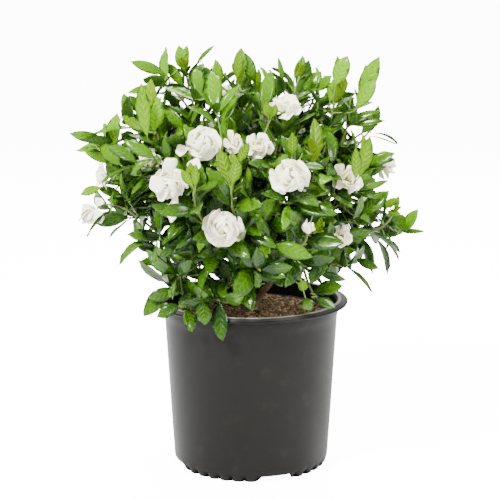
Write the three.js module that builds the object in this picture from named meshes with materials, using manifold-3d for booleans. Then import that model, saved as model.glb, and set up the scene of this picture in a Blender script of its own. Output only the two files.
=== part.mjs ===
/*
 * A flowering gardenia in a black nursery pot, in millimetres.
 *
 * +Z is up, -Y is the front, and the origin is the middle of the pot's base, on the ground.
 * The pot is turned, with drain slots cut through its foot. It is filled with potting mix, and
 * the woody limbs stand in a hole in the mix. Each limb ends where a leafy branch takes over,
 * and each branch carries twigs that end in a bloom, a bright young shoot or a tuft of leaves.
 */
import * as THREE from 'three';
import { mergeVertices } from 'three/addons/utils/BufferGeometryUtils.js';
import Module from 'manifold-3d';

const wasm = await Module();
wasm.setup();
const { Manifold, Mesh: SolidMesh } = wasm;

// ---------------------------------------------------------------- driving dimensions

const SEAT_GAP = 0.3; // between a piece and what carries it
const LEAF_GAP = 1; // the least room between a leaf and anything that it doesn't grow from
const SEED = 7;

const POT = {
  rimRadius: 139.5,
  height: 242.3,
  mouthRadius: 122.3,
  baseRadius: 112,
  footRadius: 109.3,
  segments: 72,
  fluteDepth: 1.6, // 36 short flutes round the foot, one on every second segment
  fluteTop: 10,
  wall: 2.2,
  floorTop: 7,
  floorUnder: 4.8,
  padRadius: 44,
};
const SLOTS = { count: 4, firstTurn: 0.333, topHalfWidth: 21, baseHalfWidth: 26, height: 9, depth: 20 };

const SOIL = { level: 221, segments: 24, bump: 3, rings: [92, 48], gap: 0.4 };

const TRUNK = { foot: 192, top: 232, radius: 11, holeGap: 0.3 };
const MAIN = { startRadius: 6.5, endRadius: 4.2, sides: 4, steps: 2 };
const LIMB = { startRadius: 2.8, endRadius: 2.4, sides: 4, steps: 2 };
const TWIG = { startRadius: 2.2, endRadius: 1.6, sides: 4, steps: 2, fork: 4 };
const CROWN_MIDDLE = new THREE.Vector3(0, 0, 380); // the leaves turn their faces away from here
// The ends of the main stems, which part in the soil. Each branch leaves the one nearest to its way.
const MAIN_ENDS = [
  [0, -74, 318],
  [74, -34, 322],
  [66, 44, 345],
  [-4, 78, 330],
  [-78, 40, 330],
  [-70, -44, 320],
  [-6, 14, 356],
];
const FORK_SHARE = 0.3; // how far out from its main stem a limb hands over to the leafy twigs

const STALK = { startRadius: 1.7, endRadius: 1.5, sides: 4, steps: 1 }; // of a young shoot

const BLADE_THICKNESS = 0.8; // of every leaf and petal
const LEAF = { length: 67, topPair: 58, slimness: 0.205, nodeSpacing: 150, attempts: 18 };

const GREEN = { color: 0x1f5a1c, roughness: 0.35 };
const YOUNG_GREEN = { color: 0x8fbf1f, roughness: 0.4 };
const WHITE = { color: 0xf4f0ea, roughness: 0.6 };

/*
 * The twigs, grouped by the branch that carries them. Each says where its end is, which way that
 * end looks, what it bears and how large that is: a bloom's radius, or the longest leaf of a shoot
 * or tuft. The first twig of a group runs on from the limb, and the others fork from it.
 */
const bloom = (at, toward, size, form = 'full') => ({ at, toward, bears: 'bloom', size, form });
const shoot = (at, toward, size) => ({ at, toward, bears: 'shoot', size });
const tuft = (at, toward, size = 46) => ({ at, toward, bears: 'tuft', size });

const BRANCHES = {
  front_low: [
    bloom([-37, -190, 378], [0, -1, 0.25], 29),
    tuft([12, -172, 318], [0.3, -0.8, -0.1]),
  ],
  front_right: [
    bloom([50, -180, 445], [0.1, -1, 0.3], 29),
    bloom([75, -165, 368], [0.1, -0.5, 0.9], 11, 'bud'),
  ],
  front_tall: [
    shoot([-25, -186, 418], [0, -0.1, 1], 56),
    bloom([-24, -128, 482], [0.6, -0.8, 0.2], 17, 'open'),
  ],
  front_left: [
    bloom([-106, -165, 434], [-0.4, -0.9, -0.1], 27),
    shoot([-74, -188, 420], [-0.1, -0.1, 1], 42),
  ],
  front_high: [
    bloom([-63, -150, 485], [-0.15, -1, 0.35], 27),
    tuft([-70, -60, 535], [-0.3, -0.5, 1], 52),
  ],
  centre_high: [
    bloom([9, -118, 475], [0.2, -0.9, 0.5], 21, 'open'),
    bloom([44, -70, 519], [0.1, -0.5, 0.9], 25, 'open'),
  ],
  left_shoot: [
    shoot([-127, -90, 491], [-0.22, -0.1, 1], 68),
    bloom([-142, -66, 452], [-0.6, -0.6, 0.3], 17, 'open'),
  ],
  left_high: [
    tuft([-165, -38, 497], [-0.8, -0.1, 0.7], 58),
    tuft([-128, 30, 478], [-0.7, 0.4, 0.6], 54),
  ],
  left_far: [
    tuft([-190, -25, 468], [-1, 0, 0.55], 58),
    bloom([-203, -45, 425], [-1, -0.3, -0.1], 19, 'open'),
  ],
  left_low: [
    bloom([-219, -60, 378], [-0.8, -0.2, -0.5], 13, 'bud'),
    tuft([-142, -72, 343], [-1, -0.2, 0.25], 55),
  ],
  top_left: [
    shoot([-90, 0, 560], [-0.1, 0, 1], 40),
    tuft([-122, 5, 548], [-1, 0, 0.6], 58),
  ],
  top_centre: [
    shoot([-15, -10, 538], [0, 0, 1], 58),
    bloom([-36, 22, 533], [-0.2, -0.3, 1], 15, 'open'),
  ],
  top_right: [
    shoot([66, 0, 553], [0.3, 0, 1], 34),
    tuft([95, 25, 540], [0.4, 0.2, 1], 50),
  ],
  right_veined: [shoot([114, -20, 510], [0.22, 0, 1], 74)],
  right_high: [
    shoot([144, 0, 507], [0.42, 0, 1], 66),
    tuft([160, 20, 478], [1, 0.2, 0.5], 55),
  ],
  right_front: [
    shoot([84, -112, 440], [0.12, 0, 1], 68),
    shoot([150, -40, 420], [0.25, -0.1, 1], 58),
  ],
  right_mid: [
    bloom([130, -78, 425], [0.35, -0.9, 0.3], 23, 'open'),
    bloom([156, -30, 385], [0.8, -0.6, -0.3], 15, 'open'),
  ],
  right_far: [
    shoot([196, -40, 366], [0.5, 0, 1], 30),
    tuft([198, -25, 356], [1, -0.1, 0.35], 52),
  ],
  right_low: [
    tuft([134, -70, 303], [1, -0.2, 0.1], 50),
    bloom([122, -97, 350], [0.4, -0.9, 0.2], 18, 'open'),
  ],
  rim_left: [
    tuft([-108, -88, 278], [-1, -0.5, -0.15], 60),
    tuft([-100, -120, 300], [-0.8, -0.8, 0.3], 58),
  ],
  rim_front: [
    tuft([-45, -128, 268], [0, -1, -0.45], 62),
    tuft([-8, -132, 300], [0.2, -1, 0.2], 58),
  ],
  rim_right: [
    tuft([98, -92, 262], [1, -0.4, 0.15], 58),
    tuft([62, -128, 322], [0.3, -1, 0.1], 60),
  ],
  back_right: [
    bloom([196, 96, 420], [0.8, 0.5, 0.4], 25),
    tuft([185, 60, 320], [1, 0.3, 0], 58),
    tuft([176, 62, 478], [0.8, 0.4, 0.6]),
  ],
  back_high: [
    tuft([70, 110, 530], [0.3, 0.5, 1], 55),
    tuft([-55, 110, 535], [-0.3, 0.5, 1], 55),
    tuft([135, 125, 485], [0.6, 0.6, 0.8]),
  ],
  back: [
    bloom([-15, 200, 425], [0, 1, 0.4], 27),
    shoot([75, 178, 425], [0.2, 0.3, 1], 60),
    tuft([10, 160, 505], [0, 0.7, 1], 56),
  ],
  back_left: [
    bloom([-165, 130, 430], [-0.7, 0.7, 0.4], 24),
    tuft([-180, 70, 345], [-1, 0.4, 0], 58),
    tuft([-130, 105, 505], [-0.6, 0.4, 1]),
  ],
  back_low: [
    tuft([80, 135, 300], [0.5, 1, 0], 58),
    tuft([-85, 135, 305], [-0.5, 1, 0], 58),
    tuft([0, 195, 345], [0, 1, 0.2], 56),
  ],
};

// The rows of petals of each form of bloom, from the outside in. Lengths are shares of its radius.
const PETALS = {
  full: [
    { count: 5, tilt: 1.42, length: 1.0, half: 0.54, bend: 0.45, fold: 0.12, twist: 0.3, root: -0.18 },
    { count: 4, tilt: 0.85, length: 0.84, half: 0.52, bend: -0.45, fold: 0.12, twist: 0.36, root: 0 },
  ],
  open: [{ count: 5, tilt: 1.15, length: 1.04, half: 0.42, bend: 0.4, fold: 0.2, twist: 0.28, root: -0.1 }],
  bud: [{ count: 3, tilt: 0.6, length: 1.4, half: 0.4, bend: -1.1, fold: 0.25, twist: 0.4, root: -0.17 }],
};
// A bloom's throat, from its stalk to its tip, as [radius, height] in shares of the bloom's radius.
const THROAT = [[0.07, -0.75], [0.2, -0.3], [0.22, 0.1], [0.12, 0.42], [0, 0.56]];
const THROAT_LENGTH = -THROAT[0][1];
const THROAT_SIDES = 5;

// ---------------------------------------------------------------- numbers and vectors

const vector = (list) => new THREE.Vector3(...list);

// A repeatable number from 0 to 1 for each set of whole-number keys.
function draw(...keys) {
  let hash = SEED;
  for (const key of keys) {
    hash = Math.imul(hash ^ (key + 0x9e3779b9), 0x85ebca6b);
    hash ^= hash >>> 13;
    hash = Math.imul(hash, 0xc2b2ae35);
    hash ^= hash >>> 16;
  }
  return (hash >>> 0) / 2 ** 32;
}

const spread = (amount, ...keys) => amount * (2 * draw(...keys) - 1);

// The part of a vector that is square to a direction, made one long.
function squareTo(direction, v) {
  return v.clone().addScaledVector(direction, -v.dot(direction)).normalize();
}

// ---------------------------------------------------------------- solids

function solidOf(points, triangles) {
  const vertProperties = new Float32Array(points.flatMap((p) => [p.x, p.y, p.z]));
  const triVerts = new Uint32Array(triangles.flat());
  return new Manifold(new SolidMesh({ numProp: 3, vertProperties, triVerts }));
}

// A three.js geometry as a solid. Triangles that shrink to nothing at a lathe's poles are dropped.
function solidOfGeometry(geometry) {
  const bare = new THREE.BufferGeometry().setAttribute('position', geometry.getAttribute('position'));
  bare.setIndex(geometry.index);
  const merged = mergeVertices(bare, 1e-3);
  const points = [];
  for (let i = 0; i < merged.attributes.position.count; i++) {
    points.push(new THREE.Vector3().fromBufferAttribute(merged.attributes.position, i));
  }
  const triangles = [];
  for (let i = 0; i < merged.index.count; i += 3) {
    const triangle = [0, 1, 2].map((k) => merged.index.getX(i + k));
    if (new Set(triangle).size === 3) triangles.push(triangle);
  }
  return solidOf(points, triangles);
}

// The largest body of a solid, without loose scraps and with its sealed hollows filled.
function mainBody(solid) {
  return solid.decompose().reduce((largest, body) => (body.volume() > largest.volume() ? body : largest));
}

function geometryOf(solid) {
  const mesh = solid.getMesh();
  const geometry = new THREE.BufferGeometry();
  geometry.setAttribute('position', new THREE.BufferAttribute(mesh.vertProperties, mesh.numProp));
  geometry.setIndex(new THREE.BufferAttribute(mesh.triVerts, 1));
  geometry.computeVertexNormals();
  return geometry;
}

// A solid turned about +Z from a profile of [radius, height] pairs, with each point then moved.
function turned(profile, segments, move = () => {}) {
  const points = profile.map(([radius, height]) => new THREE.Vector2(radius, height));
  const geometry = new THREE.LatheGeometry(points, segments).rotateX(Math.PI / 2);
  const positions = geometry.getAttribute('position');
  for (let i = 0; i < positions.count; i++) {
    const point = new THREE.Vector3().fromBufferAttribute(positions, i);
    move(point);
    positions.setXYZ(i, ...point);
  }
  return solidOfGeometry(geometry);
}

/*
 * A leaf or petal: root is where it starts, along points down its length, and face is the way its
 * upper side looks. It bends back from its face over its length, and its edges rise by fold.
 */
function bladePoint(blade, along, across, lift) {
  const angle = blade.bend * along;
  const reach = blade.length / blade.bend;
  const rise = blade.fold * Math.abs(across) * blade.half + lift;
  const side = blade.face.clone().cross(blade.along);
  return blade.root
    .clone()
    .addScaledVector(blade.along, reach * Math.sin(angle) + rise * Math.sin(angle))
    .addScaledVector(blade.face, reach * (Math.cos(angle) - 1) + rise * Math.cos(angle))
    .addScaledVector(side, across * blade.half);
}

// The corners of a blade, as [along, across] in shares of its length and half width, from its root
// to its tip, then its upper triangles and its outline. A petal is creased at its fourth corner.
const LEAF_PLAN = {
  corners: [[0, 0], [0.36, 0.94], [0.36, -0.94], [0.72, 0.76], [0.72, -0.76], [1, 0]],
  faces: [[0, 2, 1], [1, 2, 4], [1, 4, 3], [3, 4, 5]],
  outline: [0, 1, 3, 5, 4, 2],
};
const PETAL_PLAN = {
  corners: [[0, 0], [0.44, 0.74], [0.44, -0.74], [0.58, 0], [0.84, 0.86], [0.84, -0.86], [1, 0]],
  faces: [[0, 2, 1], [1, 2, 3], [1, 3, 4], [2, 5, 3], [4, 3, 6], [3, 5, 6]],
  outline: [0, 1, 4, 6, 5, 2],
};

// Both faces have the same triangles. They meet at the tip, and walls join them everywhere else.
function bladeSolid(blade, { corners, faces, outline }) {
  const tip = corners.length - 1;
  const points = corners.map(([along, across], i) =>
    bladePoint(blade, along, across, i === tip ? 0 : BLADE_THICKNESS / 2),
  );
  const under = corners.map(([along, across], i) =>
    i === tip ? tip : points.push(bladePoint(blade, along, across, -BLADE_THICKNESS / 2)) - 1,
  );
  const triangles = faces.flatMap(([a, b, c]) => [[a, b, c], [under[a], under[c], under[b]]]);
  outline.forEach((a, i) => {
    const b = outline[(i + 1) % outline.length];
    if (a !== tip) triangles.push([a, b, under[a]]);
    if (b !== tip) triangles.push([b, under[b], under[a]]);
  });
  return solidOf(points, triangles);
}

// ---------------------------------------------------------------- stems

// A cubic curve that leaves its start and meets its end along the given directions.
function stemCurve(start, leaving, end, arriving) {
  const length = start.distanceTo(end);
  return [
    start,
    start.clone().addScaledVector(leaving, 0.34 * length),
    end.clone().addScaledVector(arriving, -0.3 * length),
    end,
  ];
}

function curvePoint([a, b, c, d], t) {
  const s = 1 - t;
  return new THREE.Vector3()
    .addScaledVector(a, s * s * s)
    .addScaledVector(b, 3 * s * s * t)
    .addScaledVector(c, 3 * s * t * t)
    .addScaledVector(d, t * t * t);
}

function curveDirection([a, b, c, d], t) {
  const s = 1 - t;
  return new THREE.Vector3()
    .addScaledVector(b.clone().sub(a), s * s)
    .addScaledVector(c.clone().sub(b), 2 * s * t)
    .addScaledVector(d.clone().sub(c), t * t)
    .normalize();
}

// Across is level and square to the curve's chord, so that a stem's rings never twist.
function curveFrame(curve, t) {
  const chord = curve[3].clone().sub(curve[0]);
  const tangent = curveDirection(curve, t);
  const across = squareTo(tangent, new THREE.Vector3(chord.y, -chord.x, 0));
  return { tangent, across, up: across.clone().cross(tangent) };
}

// The middle of a tapered stem, whose stretches between its rings are straight.
function stemMiddle(curve, t, { steps }) {
  const ring = Math.min(Math.floor(t * steps), steps - 1);
  const below = curvePoint(curve, ring / steps);
  return below.lerp(curvePoint(curve, (ring + 1) / steps), t * steps - ring);
}

function taperedStem(curve, { startRadius, endRadius, sides, steps }) {
  const points = [];
  for (let step = 0; step <= steps; step++) {
    const t = step / steps;
    const middle = curvePoint(curve, t);
    const { across, up } = curveFrame(curve, t);
    const radius = startRadius + (endRadius - startRadius) * t;
    for (let side = 0; side < sides; side++) {
      const angle = (2 * Math.PI * side) / sides;
      const corner = middle.clone().addScaledVector(across, radius * Math.cos(angle));
      points.push(corner.addScaledVector(up, -radius * Math.sin(angle)));
    }
  }
  const triangles = [];
  for (let step = 0; step < steps; step++) {
    for (let side = 0; side < sides; side++) {
      const next = (side + 1) % sides;
      const [a, b, c, d] = [side, next, side + sides, next + sides].map((k) => k + step * sides);
      triangles.push([a, b, c], [b, d, c]);
    }
  }
  for (let side = 1; side < sides - 1; side++) {
    const top = steps * sides;
    triangles.push([0, side + 1, side], [top, top + side, top + side + 1]);
  }
  return solidOf(points, triangles);
}

// ---------------------------------------------------------------- pot and soil

function potSolid() {
  const lip = POT.rimRadius;
  const rimUnder = POT.height - 6.1;
  const body = turned(
    [
      [0, 0],
      [POT.footRadius, 0],
      [POT.baseRadius, POT.fluteTop],
      [lip - 15, POT.height - 20.8],
      [lip - 13, rimUnder],
      [lip, rimUnder + 2],
      [lip - 0.5, rimUnder + 4.2],
      [lip - 13.5, POT.height],
      [0, POT.height],
    ],
    POT.segments,
    (point) => {
      const radius = Math.hypot(point.x, point.y);
      const segment = Math.round((Math.atan2(point.y, point.x) * POT.segments) / (2 * Math.PI));
      if (segment % 2 === 0 || radius < 1 || point.z > 1) return;
      point.multiplyScalar(1 - POT.fluteDepth / radius);
    },
  );
  const mouth = [
    [0, POT.floorTop],
    [POT.baseRadius - POT.wall, POT.floorTop],
    [POT.mouthRadius, rimUnder],
    [lip - 14.2, POT.height + 1],
    [0, POT.height + 1],
  ];
  // The floor stands on a foot ring and a middle pad, with a channel between them.
  const channel = [
    [POT.padRadius, -1],
    [POT.footRadius - 7.5, -1],
    [POT.footRadius - 8.5, POT.floorUnder],
    [POT.padRadius + 2, POT.floorUnder],
    [POT.padRadius, -1],
  ];
  const cuts = [mouth, channel].map((profile) => turned(profile, POT.segments / 2));
  const slots = Array.from({ length: SLOTS.count }, (_, i) => drainSlot(i));
  return [...cuts, ...slots].reduce((pot, cut) => pot.subtract(cut), body);
}

// A slot through the foot that also opens the edge of the floor, so that water drains from the mix.
function drainSlot(i) {
  const { topHalfWidth, baseHalfWidth, height, depth } = SLOTS;
  const outer = POT.baseRadius + 5;
  const outline = new THREE.Shape([
    new THREE.Vector2(-baseHalfWidth, -1),
    new THREE.Vector2(baseHalfWidth, -1),
    new THREE.Vector2(topHalfWidth, height),
    new THREE.Vector2(-topHalfWidth, height),
  ]);
  const slot = new THREE.ExtrudeGeometry(outline, { depth: depth + 5, bevelEnabled: false });
  const turn = SLOTS.firstTurn + (2 * Math.PI * i) / SLOTS.count;
  return solidOfGeometry(slot.rotateX(Math.PI / 2).translate(0, depth + 5 - outer, 0).rotateZ(turn));
}

// The mix fills the pot to just under its rim, with a lumpy top.
function soilSolid(trunk) {
  const flat = Math.cos((2 * Math.PI) / POT.segments); // the pot's inside is flat between its corners
  const slope = (POT.mouthRadius - POT.baseRadius + POT.wall) / (POT.height - 6.1 - POT.floorTop);
  const wallRadius = (height) =>
    (POT.baseRadius - POT.wall + slope * (height - POT.floorTop)) * flat - SOIL.gap;
  const bottom = POT.floorTop + SOIL.gap;
  const level = SOIL.level;
  const profile = [[0, bottom], [wallRadius(bottom), bottom], [wallRadius(level - 3), level - 3]];
  profile.push(...SOIL.rings.map((radius) => [radius, level]), [0, level]);
  const lumpy = turned(profile, SOIL.segments, (point) => {
    if (point.z > level - 1) point.z += spread(SOIL.bump, 1, Math.round(point.x), Math.round(point.y));
  });
  return lumpy.subtract(grown(trunk, TRUNK.holeGap));
}

// ---------------------------------------------------------------- wood

// The trunk below the soil's surface, made wider by a gap, for the hole that it stands in.
function grown(trunk, gap) {
  return turned(
    [
      [0, trunk.foot - gap],
      [trunk.radius + gap, trunk.foot - gap],
      [trunk.radius + gap, SOIL.level + 12],
      [0, SOIL.level + 12],
    ],
    8,
  );
}

const mainStems = MAIN_ENDS.map((end) => {
  const start = new THREE.Vector3(0, 0, SOIL.level + 3);
  const heading = vector(end).sub(start).normalize();
  const leaving = heading.clone().add(new THREE.Vector3(0, 0, 0.5)).normalize();
  return stemCurve(start, leaving, vector(end), heading);
});

// The limb and twigs of a branch. The limb runs from a main stem to the fork where the twigs part.
function branchPlan(twigs, branch) {
  const ends = twigs.map((twig) => vector(twig.at));
  const middle = ends.reduce((sum, end) => sum.add(end), new THREE.Vector3()).divideScalar(ends.length);
  const angleTo = (main) => middle.clone().sub(main[0]).angleTo(main[3].clone().sub(main[0]));
  const main = mainStems.reduce((best, other) => (angleTo(other) < angleTo(best) ? other : best));
  const t = 0.55 + 0.42 * draw(9, branch);
  const start = curvePoint(main, t);
  const outward = middle.clone().sub(start).normalize();
  const leaving = curveDirection(main, t).add(outward).normalize();
  const fork = start.clone().lerp(middle, FORK_SHARE);
  const heading = ends[0].clone().sub(fork).normalize().add(outward).normalize();
  const limb = stemCurve(start, leaving, fork.clone().addScaledVector(heading, -SEAT_GAP / 2), heading);
  return { fork, heading, limb, curves: twigs.map((twig, i) => twigCurve(twig, i, fork, heading)) };
}

// A twig ends at its shoot or tuft, or at the foot of its bloom's throat.
function twigCurve(twig, i, fork, heading) {
  const arriving = vector(twig.toward).normalize();
  const back = twig.bears === 'bloom' ? THROAT_LENGTH * twig.size + SEAT_GAP : 0;
  const end = vector(twig.at).addScaledVector(arriving, -back);
  const start = fork.clone().addScaledVector(heading, i === 0 ? SEAT_GAP / 2 : TWIG.fork);
  const leaving = i === 0 ? heading : end.clone().sub(start).normalize().add(heading).normalize();
  return stemCurve(start, leaving, end, arriving);
}

function woodSolid(plans) {
  const trunk = turned(
    [
      [0, TRUNK.foot],
      [TRUNK.radius, TRUNK.foot],
      [TRUNK.radius, SOIL.level],
      [TRUNK.radius * 0.8, TRUNK.top],
      [0, TRUNK.top + 3],
    ],
    8,
  );
  const mains = mainStems.map((main) => taperedStem(main, MAIN));
  const limbs = plans.map(({ limb }) => taperedStem(limb, LIMB));
  return Manifold.union([trunk, ...mains, ...limbs]);
}

// ---------------------------------------------------------------- blooms and shoots

// The throat's radius at a height, across the flats between its five corners.
function throatRadius(height) {
  const upper = THROAT.findIndex(([, z]) => z > height);
  const [[r0, z0], [r1, z1]] = THROAT.slice(upper - 1, upper + 1);
  return (r0 + ((r1 - r0) * (height - z0)) / (z1 - z0)) * Math.cos(Math.PI / THROAT_SIDES);
}

// A blade that starts just under the skin of an upright stem, and leans outward from it by tilt.
function leaningBlade(turn, tilt, height, radius, twist, shape) {
  const outward = new THREE.Vector3(Math.cos(turn), Math.sin(turn), 0);
  const up = new THREE.Vector3(0, 0, 1);
  const along = outward.clone().multiplyScalar(Math.sin(tilt)).addScaledVector(up, Math.cos(tilt));
  const face = outward.clone().multiplyScalar(-Math.cos(tilt)).addScaledVector(up, Math.sin(tilt));
  const root = outward.clone().multiplyScalar(radius).addScaledVector(up, height);
  return { root, along, face: face.applyAxisAngle(along, twist), ...shape };
}

// A bloom about +Z, with its middle at the origin. Each petal is twisted, to lie over the next.
function bloomSolid({ size, form }, number) {
  const profile = [[0, -THROAT_LENGTH], ...THROAT].map((point) => point.map((share) => share * size));
  const throat = turned(profile, THROAT_SIDES);
  const petals = PETALS[form].flatMap((row, r) =>
    Array.from({ length: row.count }, (_, i) => {
      const turn = (2 * Math.PI * (i + 0.5 * (r % 2))) / row.count + spread(0.08, 2, number, r, i);
      const tilt = row.tilt + spread(0.06, 3, number, r, i);
      const radius = throatRadius(row.root) * size - 0.8;
      const shape = { length: row.length * size, half: row.half * size, bend: row.bend, fold: row.fold };
      return bladeSolid(leaningBlade(turn, tilt, row.root * size, radius, row.twist, shape), PETAL_PLAN);
    }),
  );
  return Manifold.union([throat, ...petals]);
}

// A young shoot about +Z, from its foot at the origin: a short stalk with upright leaves. The tallest
// leaf stands at the back, so that its upper side looks out of the crown.
const SHOOT_LEAVES = [
  { turn: 0, tilt: 0.12, size: 1, height: 0.28 },
  { turn: 2.6, tilt: 0.36, size: 0.8, height: 0.17 },
  { turn: 4.4, tilt: 0.75, size: 0.62, height: 0.08 },
];

function shootSolid({ at, size }, number) {
  const back = Math.atan2(60 - at[1], -0.5 * at[0]);
  const foot = new THREE.Vector3(0, 0, SEAT_GAP);
  const top = new THREE.Vector3(0.01 * size, 0, 0.3 * size);
  const up = new THREE.Vector3(0, 0, 1);
  const stalk = taperedStem(stemCurve(foot, up, top, up), STALK);
  const leaves = SHOOT_LEAVES.map(({ turn, tilt, size: share, height }, i) => {
    const shape = { length: 0.76 * size * share, half: 0.17 * size * share, bend: 0.35, fold: 0 };
    const facing = back + turn + spread(0.25, 4, number, i);
    return bladeSolid(leaningBlade(facing, tilt, height * size, 0.5, 0, shape), LEAF_PLAN);
  });
  return Manifold.union([stalk, ...leaves]);
}

// Turns +Z to look along a direction, about a point.
function placement(point, direction) {
  const up = new THREE.Vector3(0, 0, 1);
  const quaternion = new THREE.Quaternion().setFromUnitVectors(up, vector(direction).normalize());
  return { position: vector(point), quaternion };
}

function placed(solid, { position, quaternion }) {
  return solidOfGeometry(geometryOf(solid).applyQuaternion(quaternion).translate(...position));
}

// ---------------------------------------------------------------- leaves

// The leaf at one place on a twig. Each further attempt lets it lean and turn a little more.
function leafBlade(curve, { t, size, leaves }, keys, attempt) {
  const { tangent, across, up } = curveFrame(curve, t);
  const loose = 0.1 + 0.05 * attempt;
  const { node, side } = keys;
  const leafKeys = [keys.branch, keys.twig, node, side];
  const flat = Math.PI * (0.5 * node + 0.25); // square to one of the twig's four flats
  const turn = flat + (2 * Math.PI * side) / leaves + spread(3 * loose, 5, ...leafKeys, attempt);
  const lean = 1.1 - 0.4 * t + spread(1.6 * loose, 6, ...leafKeys, attempt);
  const outward = across.clone().multiplyScalar(Math.cos(turn)).addScaledVector(up, Math.sin(turn));
  const along = tangent.clone().multiplyScalar(Math.cos(lean)).addScaledVector(outward, Math.sin(lean));
  const middle = stemMiddle(curve, t, TWIG);
  const look = middle.clone().sub(CROWN_MIDDLE).normalize().addScaledVector(tangent, 0.35);
  look.z += 0.3;
  const length = size * (1 + spread(0.14, 7, ...leafKeys)) * (1 - 0.02 * attempt);
  return {
    root: middle.addScaledVector(outward, 0.4 * TWIG.endRadius),
    along,
    face: squareTo(along, look),
    length,
    half: length * LEAF.slimness,
    bend: 0.5 + spread(0.35, 8, ...leafKeys),
    fold: 0,
  };
}

// Where leaves grow on a twig: three round the end of a tuft, or a pair under a bloom or shoot, and
// further pairs down the longer twigs.
function leafNodes(twig, curve) {
  const isTuft = twig.bears === 'tuft';
  const whorl = { t: 0.96, size: twig.size, leaves: 3 };
  const topPair = { t: 0.84, size: LEAF.topPair, leaves: 2 };
  const nodes = [isTuft ? whorl : topPair];
  const pairs = Math.round(curve[0].distanceTo(curve[3]) / LEAF.nodeSpacing - (isTuft ? 0 : 0.6));
  for (let i = 0; i < pairs; i++) nodes.push({ t: 0.62 - (0.4 * i) / pairs, size: LEAF.length, leaves: 2 });
  return nodes;
}

function boxesMeet(a, b) {
  return [0, 1, 2].every((k) => a.min[k] < b.max[k] + LEAF_GAP && b.min[k] < a.max[k] + LEAF_GAP);
}

// Everything that a leaf has to clear, each with the place that it grows from.
const obstacles = [];
function addObstacle(solid, place) {
  obstacles.push({ solid, place, box: solid.boundingBox() });
}

// A leaf may be closer to its own stem, and to the other leaves that start beside it.
function isClear(solid, stem, place) {
  const box = solid.boundingBox();
  return obstacles.every((other) => {
    if (other.place === stem || !boxesMeet(box, other.box)) return true;
    const room = other.place === place ? LEAF_GAP / 4 : LEAF_GAP;
    return solid.minGap(other.solid, LEAF_GAP) >= room;
  });
}

// The first attempt that clears its neighbours is kept. A place with no room stays bare.
function growLeaf(curve, node, keys) {
  const stem = `stem ${keys.branch} ${keys.twig}`;
  const place = `node ${keys.branch} ${keys.twig} ${keys.node}`;
  for (let attempt = 0; attempt < LEAF.attempts; attempt++) {
    const solid = bladeSolid(leafBlade(curve, node, keys, attempt), LEAF_PLAN);
    if (isClear(solid, stem, place)) {
      addObstacle(solid, place);
      return [solid];
    }
  }
  return [];
}

// ---------------------------------------------------------------- the plant, put together

const branchNames = Object.keys(BRANCHES);
const plans = branchNames.map((name, branch) => branchPlan(BRANCHES[name], branch));
const wood = woodSolid(plans);
const pot = potSolid();
const soil = soilSolid(TRUNK);

const gardenia = new THREE.Group();

function addPiece(name, solid, look, { position, quaternion } = {}) {
  const geometry = geometryOf(mainBody(solid));
  if (position && !quaternion) geometry.translate(...position.clone().negate());
  const mesh = new THREE.Mesh(geometry, new THREE.MeshStandardMaterial({ ...look, metalness: 0 }));
  mesh.name = name;
  if (position) mesh.position.copy(position);
  if (quaternion) mesh.quaternion.copy(quaternion);
  gardenia.add(mesh);
}

addPiece('pot', pot, { color: 0x46463f, roughness: 0.45 });
addPiece('soil', soil, { color: 0x4b3425, roughness: 0.95 });
addPiece('woody_limbs', wood, { color: 0x5c4a32, roughness: 0.8 });
addObstacle(pot, 'pot');
addObstacle(soil, 'soil');
addObstacle(wood, 'wood');

// The soil shows through an opening in the leaves at the front right.
const soilWindow = new THREE.BoxGeometry(96, 95, 50).translate(52, -100, 248);
addObstacle(solidOfGeometry(soilWindow), 'soil window');

// Stems, blooms and shoots come first, and then the leaves fill the room that is left.
const stems = plans.map(({ curves }, branch) =>
  curves.map((curve, twig) => {
    const stem = taperedStem(curve, TWIG);
    addObstacle(stem, `stem ${branch} ${twig}`);
    return stem;
  }),
);
branchNames.forEach((name, branch) =>
  BRANCHES[name].forEach((twig, i) => {
    const number = branch * 4 + i;
    const place = placement(twig.at, twig.toward);
    if (twig.bears === 'bloom') {
      const solid = bloomSolid(twig, number);
      addPiece(`bloom_${name}_${i + 1}`, solid, WHITE, place);
      addObstacle(placed(solid, place), 'bloom');
      // A bloom opens clear of the leaves in front of it.
      const view = new THREE.IcosahedronGeometry(twig.size * 0.9, 1);
      view.translate(...vector(twig.toward).setLength(twig.size * 1.1).add(vector(twig.at)).toArray());
      addObstacle(solidOfGeometry(view), 'bloom view');
    }
    if (twig.bears === 'shoot') {
      const solid = shootSolid(twig, number);
      addPiece(`shoot_${name}_${i + 1}`, solid, YOUNG_GREEN, place);
      addObstacle(placed(solid, place), 'shoot');
    }
  }),
);
branchNames.forEach((name, branch) => {
  const { fork, curves } = plans[branch];
  const leaves = [];
  BRANCHES[name].forEach((bearer, twig) => {
    const curve = curves[twig];
    leafNodes(bearer, curve).forEach((place, node) => {
      for (let side = 0; side < place.leaves; side++) {
        leaves.push(...growLeaf(curve, place, { branch, twig, node, side }));
      }
    });
  });
  const leafy = Manifold.union([...stems[branch], ...leaves]);
  addPiece(`leafy_${name}`, leafy, GREEN, { position: fork });
});

export default gardenia;
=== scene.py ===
import math
from collections import namedtuple

import bmesh
import bpy
import numpy as np
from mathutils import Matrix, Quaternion, Vector, noise


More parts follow.
